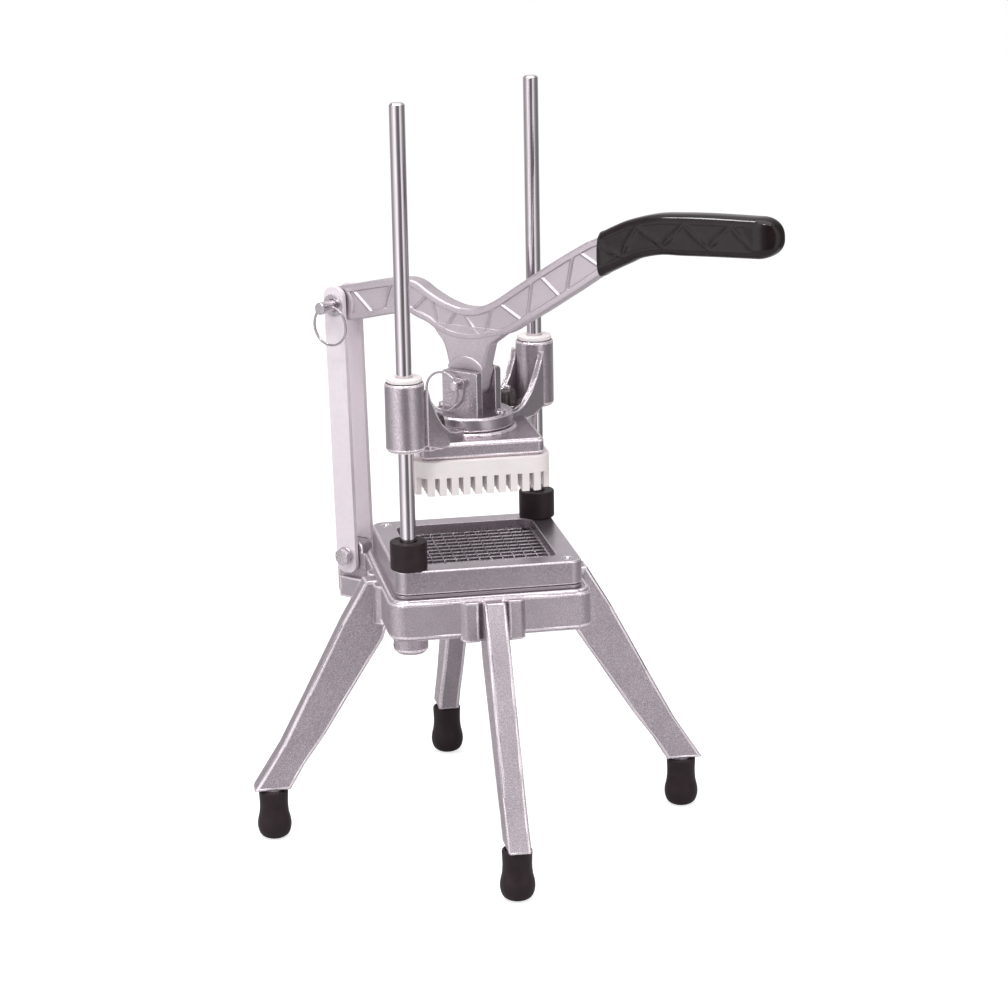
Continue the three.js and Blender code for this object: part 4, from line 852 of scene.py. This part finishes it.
def zigzag(steps, path, normals, across):
    """How near each point is to a rib, from 0 to 1. A rib is a straight line between its two ends, and the
    nearness falls with the distance d from it as 1.3 - d / 1.1, held between 0 and 1."""
    reach = path[:, 2] - LEVER_RIM
    upper = path[:, 0] + normals[:, 0] * reach
    lower = path[:, 0] - normals[:, 0] * reach
    high = np.interp(RIBS[:, 0], upper, steps)
    low = np.interp(RIBS[:, 1], lower, steps)
    share = (across / reach[:, None] + 1)[..., None] / 2
    lean = (high - low) / (2 * reach.mean())
    distance = np.abs(steps[:, None, None] - (low + (high - low) * share)) / np.sqrt(1 + lean ** 2)
    return np.clip(1.3 - distance / 1.1, 0, 1).max(-1)


def lever_beam(node):
    """The beam: a section with rounded edges carried along the lever's path. Across each side it keeps a rim,
    and inside it the side sinks by the pocket's depth times a wall share times (1 - nearness of a rib)."""
    steps, path = lever_path()
    slope = np.gradient(path[:, :2], steps, axis=0)
    slope /= np.linalg.norm(slope, axis=1, keepdims=True)
    normals = np.stack([-slope[:, 1], slope[:, 0]], -1)
    depth = path[:, 2:]
    inset = np.array([LEVER_EDGE, LEVER_RIM - 0.25, LEVER_RIM, LEVER_RIM + 0.5 * POCKET_WALL,
                      LEVER_RIM + POCKET_WALL, LEVER_RIM + POCKET_WALL + 0.25])
    inner = (depth - inset[-1]) * np.linspace(-1, 1, 22)[None, 1:-1]
    across = np.concatenate([-(depth - inset), inner, (depth - inset)[:, ::-1]], 1)
    wall = np.clip((depth - np.abs(across) - LEVER_RIM) / POCKET_WALL, 0, 1)
    eye = TAIL_PATH_SHARES[0, :2] * (TAIL_REACH, TAIL_RISE)
    clear = np.linalg.norm(path[:, :2] - eye, axis=1, keepdims=True)
    clear = np.sqrt(clear ** 2 + across ** 2) - EYE_RADIUS - 1.0
    sunk = POCKET_DEPTH * wall * np.clip(clear / POCKET_WALL, 0, 1)
    sunk = sunk * (1 - zigzag(steps, path, normals, across))
    bend = np.linspace(0, math.pi / 2, 5)
    edge_across = depth - LEVER_EDGE * (1 - np.sin(bend))[None]
    edge_side = np.broadcast_to(LEVER_HALF - LEVER_EDGE * (1 - np.cos(bend)), edge_across.shape)
    side = LEVER_HALF - sunk
    w = np.concatenate([across[:, 1:-1], edge_across, edge_across[:, ::-1], across[:, ::-1][:, 1:-1],
                        -edge_across, -edge_across[:, ::-1]], 1)
    y = np.concatenate([-side[:, 1:-1], -edge_side, edge_side[:, ::-1], side[:, ::-1][:, 1:-1],
                        edge_side, -edge_side[:, ::-1]], 1)
    x = path[:, :1] + normals[:, :1] * w
    z = path[:, 1:2] + normals[:, 1:] * w
    points = LEVER_PIVOT + with_ends(np.stack([x, y, z], -1)) * MM
    obj = surface(node + "_beam", points, grid_faces(*points.shape[:2]), LEVER_SKIN)
    return stands_for(even_shading(obj), node)


def lever_tongue(node):
    """The tongue below the beam: at each height a section between its left and its right flank, each flank a
    smooth curve, with round edges; its foot ends inside the boss and its top inside the beam."""
    levels = np.linspace(0.4, 3.45, 70)
    flanks = [smooth_run(flank, 400) for flank in (TONGUE_LEFT, TONGUE_RIGHT)]
    left, right = (np.interp(levels, flank[:, 1], flank[:, 0])[:, None] * TONGUE_RADIUS for flank in flanks)
    half, edge = LEVER_HALF - TONGUE_DROP, LEVER_EDGE
    bend = np.linspace(0, math.pi / 2, 5)[None]
    inset, side = edge * (1 - np.sin(bend)), half - edge * (1 - np.cos(bend)) + 0 * left
    x = np.concatenate([right - inset, (right - inset)[:, ::-1], left + inset, (left + inset)[:, ::-1]], 1)
    y = np.concatenate([-side, side[:, ::-1], side, -side[:, ::-1]], 1)
    z = np.broadcast_to(levels[:, None] * TONGUE_RADIUS, x.shape)
    points = LEVER_PIVOT + with_ends(np.stack([x, y, z], -1)) * MM
    obj = surface(node + "_tongue", points, grid_faces(*points.shape[:2]), LEVER_SKIN)
    return stands_for(even_shading(obj), node)


def eyed_plate(name, reach, angles, bore, half, edge, place):
    """A plate round a pin's hole: its outline is a reach for each angle, its edge is an arc, and its sides run
    straight from the outline to the hole."""
    bend = np.linspace(0, math.pi / 2, 5)[:, None]
    inset, side = edge * (1 - np.sin(bend)), half - edge * (1 - np.cos(bend))
    ring = np.full_like(reach, bore)[None]
    radii = np.concatenate([ring, reach - inset, (reach - inset)[::-1], ring])
    across = np.concatenate([[[-half]], -side, side[::-1], [[half]]])
    return even_shading(revolved(name, radii, across, angles[None], place, LEVER_SKIN, "Y", closed=True))


def lever_eyes(node):
    """The boss round the cross pin: the tongue's outline, R / (|cos a| - k sin a) at its flanks and R below,
    held inside a disc. The tail's eye: a radius R, with corners R / |sin a| toward the beam."""
    angles = round_angles(144)
    flank = np.where(np.cos(angles) > 0, 0.299, 0.351)
    narrow = np.maximum(np.abs(np.cos(angles)) - flank * np.sin(angles), 0.05)
    boss = np.where(np.sin(angles) < 0, TONGUE_RADIUS, np.minimum(TONGUE_RADIUS / narrow, BOSS_DISC))
    stands_for(eyed_plate(node + "_boss", boss, angles, CROSS_BORE, BOSS_HALF, 1.2, LEVER_PIVOT), node)
    start = (TAIL_PATH_SHARES[1, :2] - TAIL_PATH_SHARES[0, :2]) * (TAIL_REACH, TAIL_RISE)
    turned_from_beam = angles - math.atan2(start[1], start[0])
    corner = EYE_RADIUS / np.maximum(np.abs(np.sin(turned_from_beam)), 0.05)
    eye = np.where(np.cos(turned_from_beam) > 0, np.minimum(corner, EYE_RADIUS + 3), EYE_RADIUS)
    stands_for(eyed_plate(node + "_eye", eye, angles, EYE_BORE, LEVER_HALF + 0.05, 2.0, TAIL_PIVOT), node)


lever_beam("lever")
lever_tongue("lever")
lever_eyes("lever")


# Studio

CAMERA_PLACE = Vector((1.3741 + LEVER_PIVOT[0], -1.9155, 0.9281))
CAMERA_AZIMUTH, CAMERA_ELEVATION, CAMERA_ROLL = np.radians([35.058, 15.424, -1.016])
FOCAL_SHARE = 2997.5 / 1008
SENSOR = 36.0


def studio_camera():
    """The camera at the photograph's view: back axis from azimuth and elevation, then the small roll."""
    az, el, roll = CAMERA_AZIMUTH, CAMERA_ELEVATION, CAMERA_ROLL
    back = np.array([math.sin(az) * math.cos(el), -math.cos(az) * math.cos(el), math.sin(el)])
    right = np.array([math.cos(az), math.sin(az), 0.0])
    up = np.cross(back, right)
    rolled_right = right * math.cos(roll) + up * math.sin(roll)
    rolled_up = -right * math.sin(roll) + up * math.cos(roll)
    data = bpy.data.cameras.new("studio_camera")
    data.sensor_fit = "HORIZONTAL"
    data.sensor_width = SENSOR
    data.lens = FOCAL_SHARE * SENSOR
    data.clip_start, data.clip_end = 0.05, 30.0
    camera = placed("studio_camera", data)
    turn = Matrix((rolled_right, rolled_up, back)).transposed()
    camera.matrix_world = Matrix.Translation(CAMERA_PLACE) @ turn.to_4x4()
    bpy.context.scene.camera = camera


def soft_light(name, place, size, power, color=(1.0, 1.0, 1.0), aim=(0.0, 0.0, 0.28)):
    """A square softbox that faces the object."""
    data = bpy.data.lights.new(name, "AREA")
    data.shape = "SQUARE"
    data.size = size
    data.energy = power
    data.color = color
    lamp = placed(name, data)
    direction = Vector(aim) - Vector(place)
    lamp.matrix_world = Matrix.Translation(place) @ direction.to_track_quat("-Z", "Y").to_matrix().to_4x4()


def pale_world(light, background):
    """A plain world: one strength lights the object, another is what the camera and glossy rays see."""
    world = bpy.data.worlds.new("studio")
    bpy.context.scene.world = world
    world.use_nodes = True
    nodes, links = world.node_tree.nodes, world.node_tree.links
    nodes.clear()
    path = nodes.new("ShaderNodeLightPath")
    seen = path.outputs["Is Camera Ray"]
    for ray in ("Is Glossy Ray", "Is Transmission Ray"):
        either = nodes.new("ShaderNodeMath")
        either.operation = "MAXIMUM"
        links.new(seen, either.inputs[0])
        links.new(path.outputs[ray], either.inputs[1])
        seen = either.outputs[0]
    mix = nodes.new("ShaderNodeMixShader")
    links.new(seen, mix.inputs[0])
    for socket, strength, color in ((1, light, (1.0, 0.99, 1.0, 1)), (2, background, (*PALE, 1))):
        shade = nodes.new("ShaderNodeBackground")
        shade.inputs["Strength"].default_value = strength
        shade.inputs["Color"].default_value = color
        links.new(shade.outputs[0], mix.inputs[socket])
    output = nodes.new("ShaderNodeOutputWorld")
    links.new(mix.outputs[0], output.inputs["Surface"])


WALL_RADIUS, WALL_HEIGHT = 0.8, 1.4
# The room that metal mirrors: turn from the camera toward the picture's right, in degrees, and brightness
ROOM_TONES = ((-180, 0.85), (-130, 0.48), (-108, 0.42), (-84, 0.62), (-68, 1.05), (-52, 1.5), (-36, 1.45),
              (-22, 0.5), (-8, 0.2), (10, 0.17), (22, 0.26), (34, 1.3), (46, 1.05), (62, 0.55), (78, 0.3),
              (112, 0.2), (135, 0.36), (180, 0.85))


def mirrored_room():
    """A round wall that only glossy rays see: a dark room with soft bright panels left and right of the
    camera. Its tone follows the turn round the upright axis, a = atan2(y, x) from the camera's direction."""
    material, nodes, links, shader, place = new_finish("mirrored_room")
    mapping = nodes.new("ShaderNodeMapping")
    mapping.vector_type = "POINT"
    mapping.inputs["Rotation"].default_value = (0, 0, math.pi / 2 - CAMERA_AZIMUTH)
    links.new(place, mapping.inputs["Vector"])
    radial = nodes.new("ShaderNodeTexGradient")
    radial.gradient_type = "RADIAL"
    links.new(mapping.outputs["Vector"], radial.inputs["Vector"])
    stops = [(turn / 360 + 0.5, (tone, tone * 0.985, tone)) for turn, tone in ROOM_TONES]
    glow = nodes.new("ShaderNodeEmission")
    links.new(ramp(nodes, links, radial.outputs["Fac"], stops), glow.inputs["Color"])
    links.new(glow.outputs[0], nodes["Material Output"].inputs["Surface"])
    angles = round_angles(96)[None]
    heights = np.array([[0.0], [WALL_HEIGHT / MM]])
    wall = revolved("mirrored_room", WALL_RADIUS / MM, heights, angles, (0.0, 0.0, 0.0), material)
    for rays in ("camera", "diffuse", "transmission", "volume_scatter", "shadow"):
        setattr(wall, "visible_" + rays, False)


FLOOR_TONE, FLOOR_GLOW = (0.72, 0.71, 0.72), 0.72


def studio_floor(size=6.0):
    """A pale floor that glows to the camera alone, so that it reads white and keeps the object's soft shadow."""
    material, nodes, links, shader, place = new_finish("studio_floor")
    shader.inputs["Base Color"].default_value = (*FLOOR_TONE, 1)
    shader.inputs["Roughness"].default_value = 0.9
    path = nodes.new("ShaderNodeLightPath")
    glow = nodes.new("ShaderNodeEmission")
    glow.inputs["Strength"].default_value = FLOOR_GLOW
    total = nodes.new("ShaderNodeAddShader")
    links.new(shader.outputs[0], total.inputs[0])
    links.new(glow.outputs[0], total.inputs[1])
    mix = nodes.new("ShaderNodeMixShader")
    links.new(path.outputs["Is Camera Ray"], mix.inputs[0])
    links.new(shader.outputs[0], mix.inputs[1])
    links.new(total.outputs[0], mix.inputs[2])
    links.new(mix.outputs[0], nodes["Material Output"].inputs["Surface"])
    half = size / 2
    points = np.array([[-half, -half, 0], [half, -half, 0], [half, half, 0], [-half, half, 0]])
    floor = surface("studio_floor", points, np.array([[0, 1, 2, 3]]), material)


studio_camera()
studio_floor()
mirrored_room()
pale_world(light=0.34, background=1.0)
soft_light("top_softbox", (0.1, -0.3, 1.9), 1.4, 11)
soft_light("key_light", (0.25, -1.15, 1.75), 0.28, 7)
soft_light("kicker", (-0.62, -0.42, 1.65), 0.24, 4)
soft_light("right_softbox", (1.9, -0.5, 1.1), 1.0, 11)
soft_light("left_softbox", (-1.5, -1.5, 1.0), 1.0, 9)
bpy.context.scene.view_settings.view_transform = "Standard"
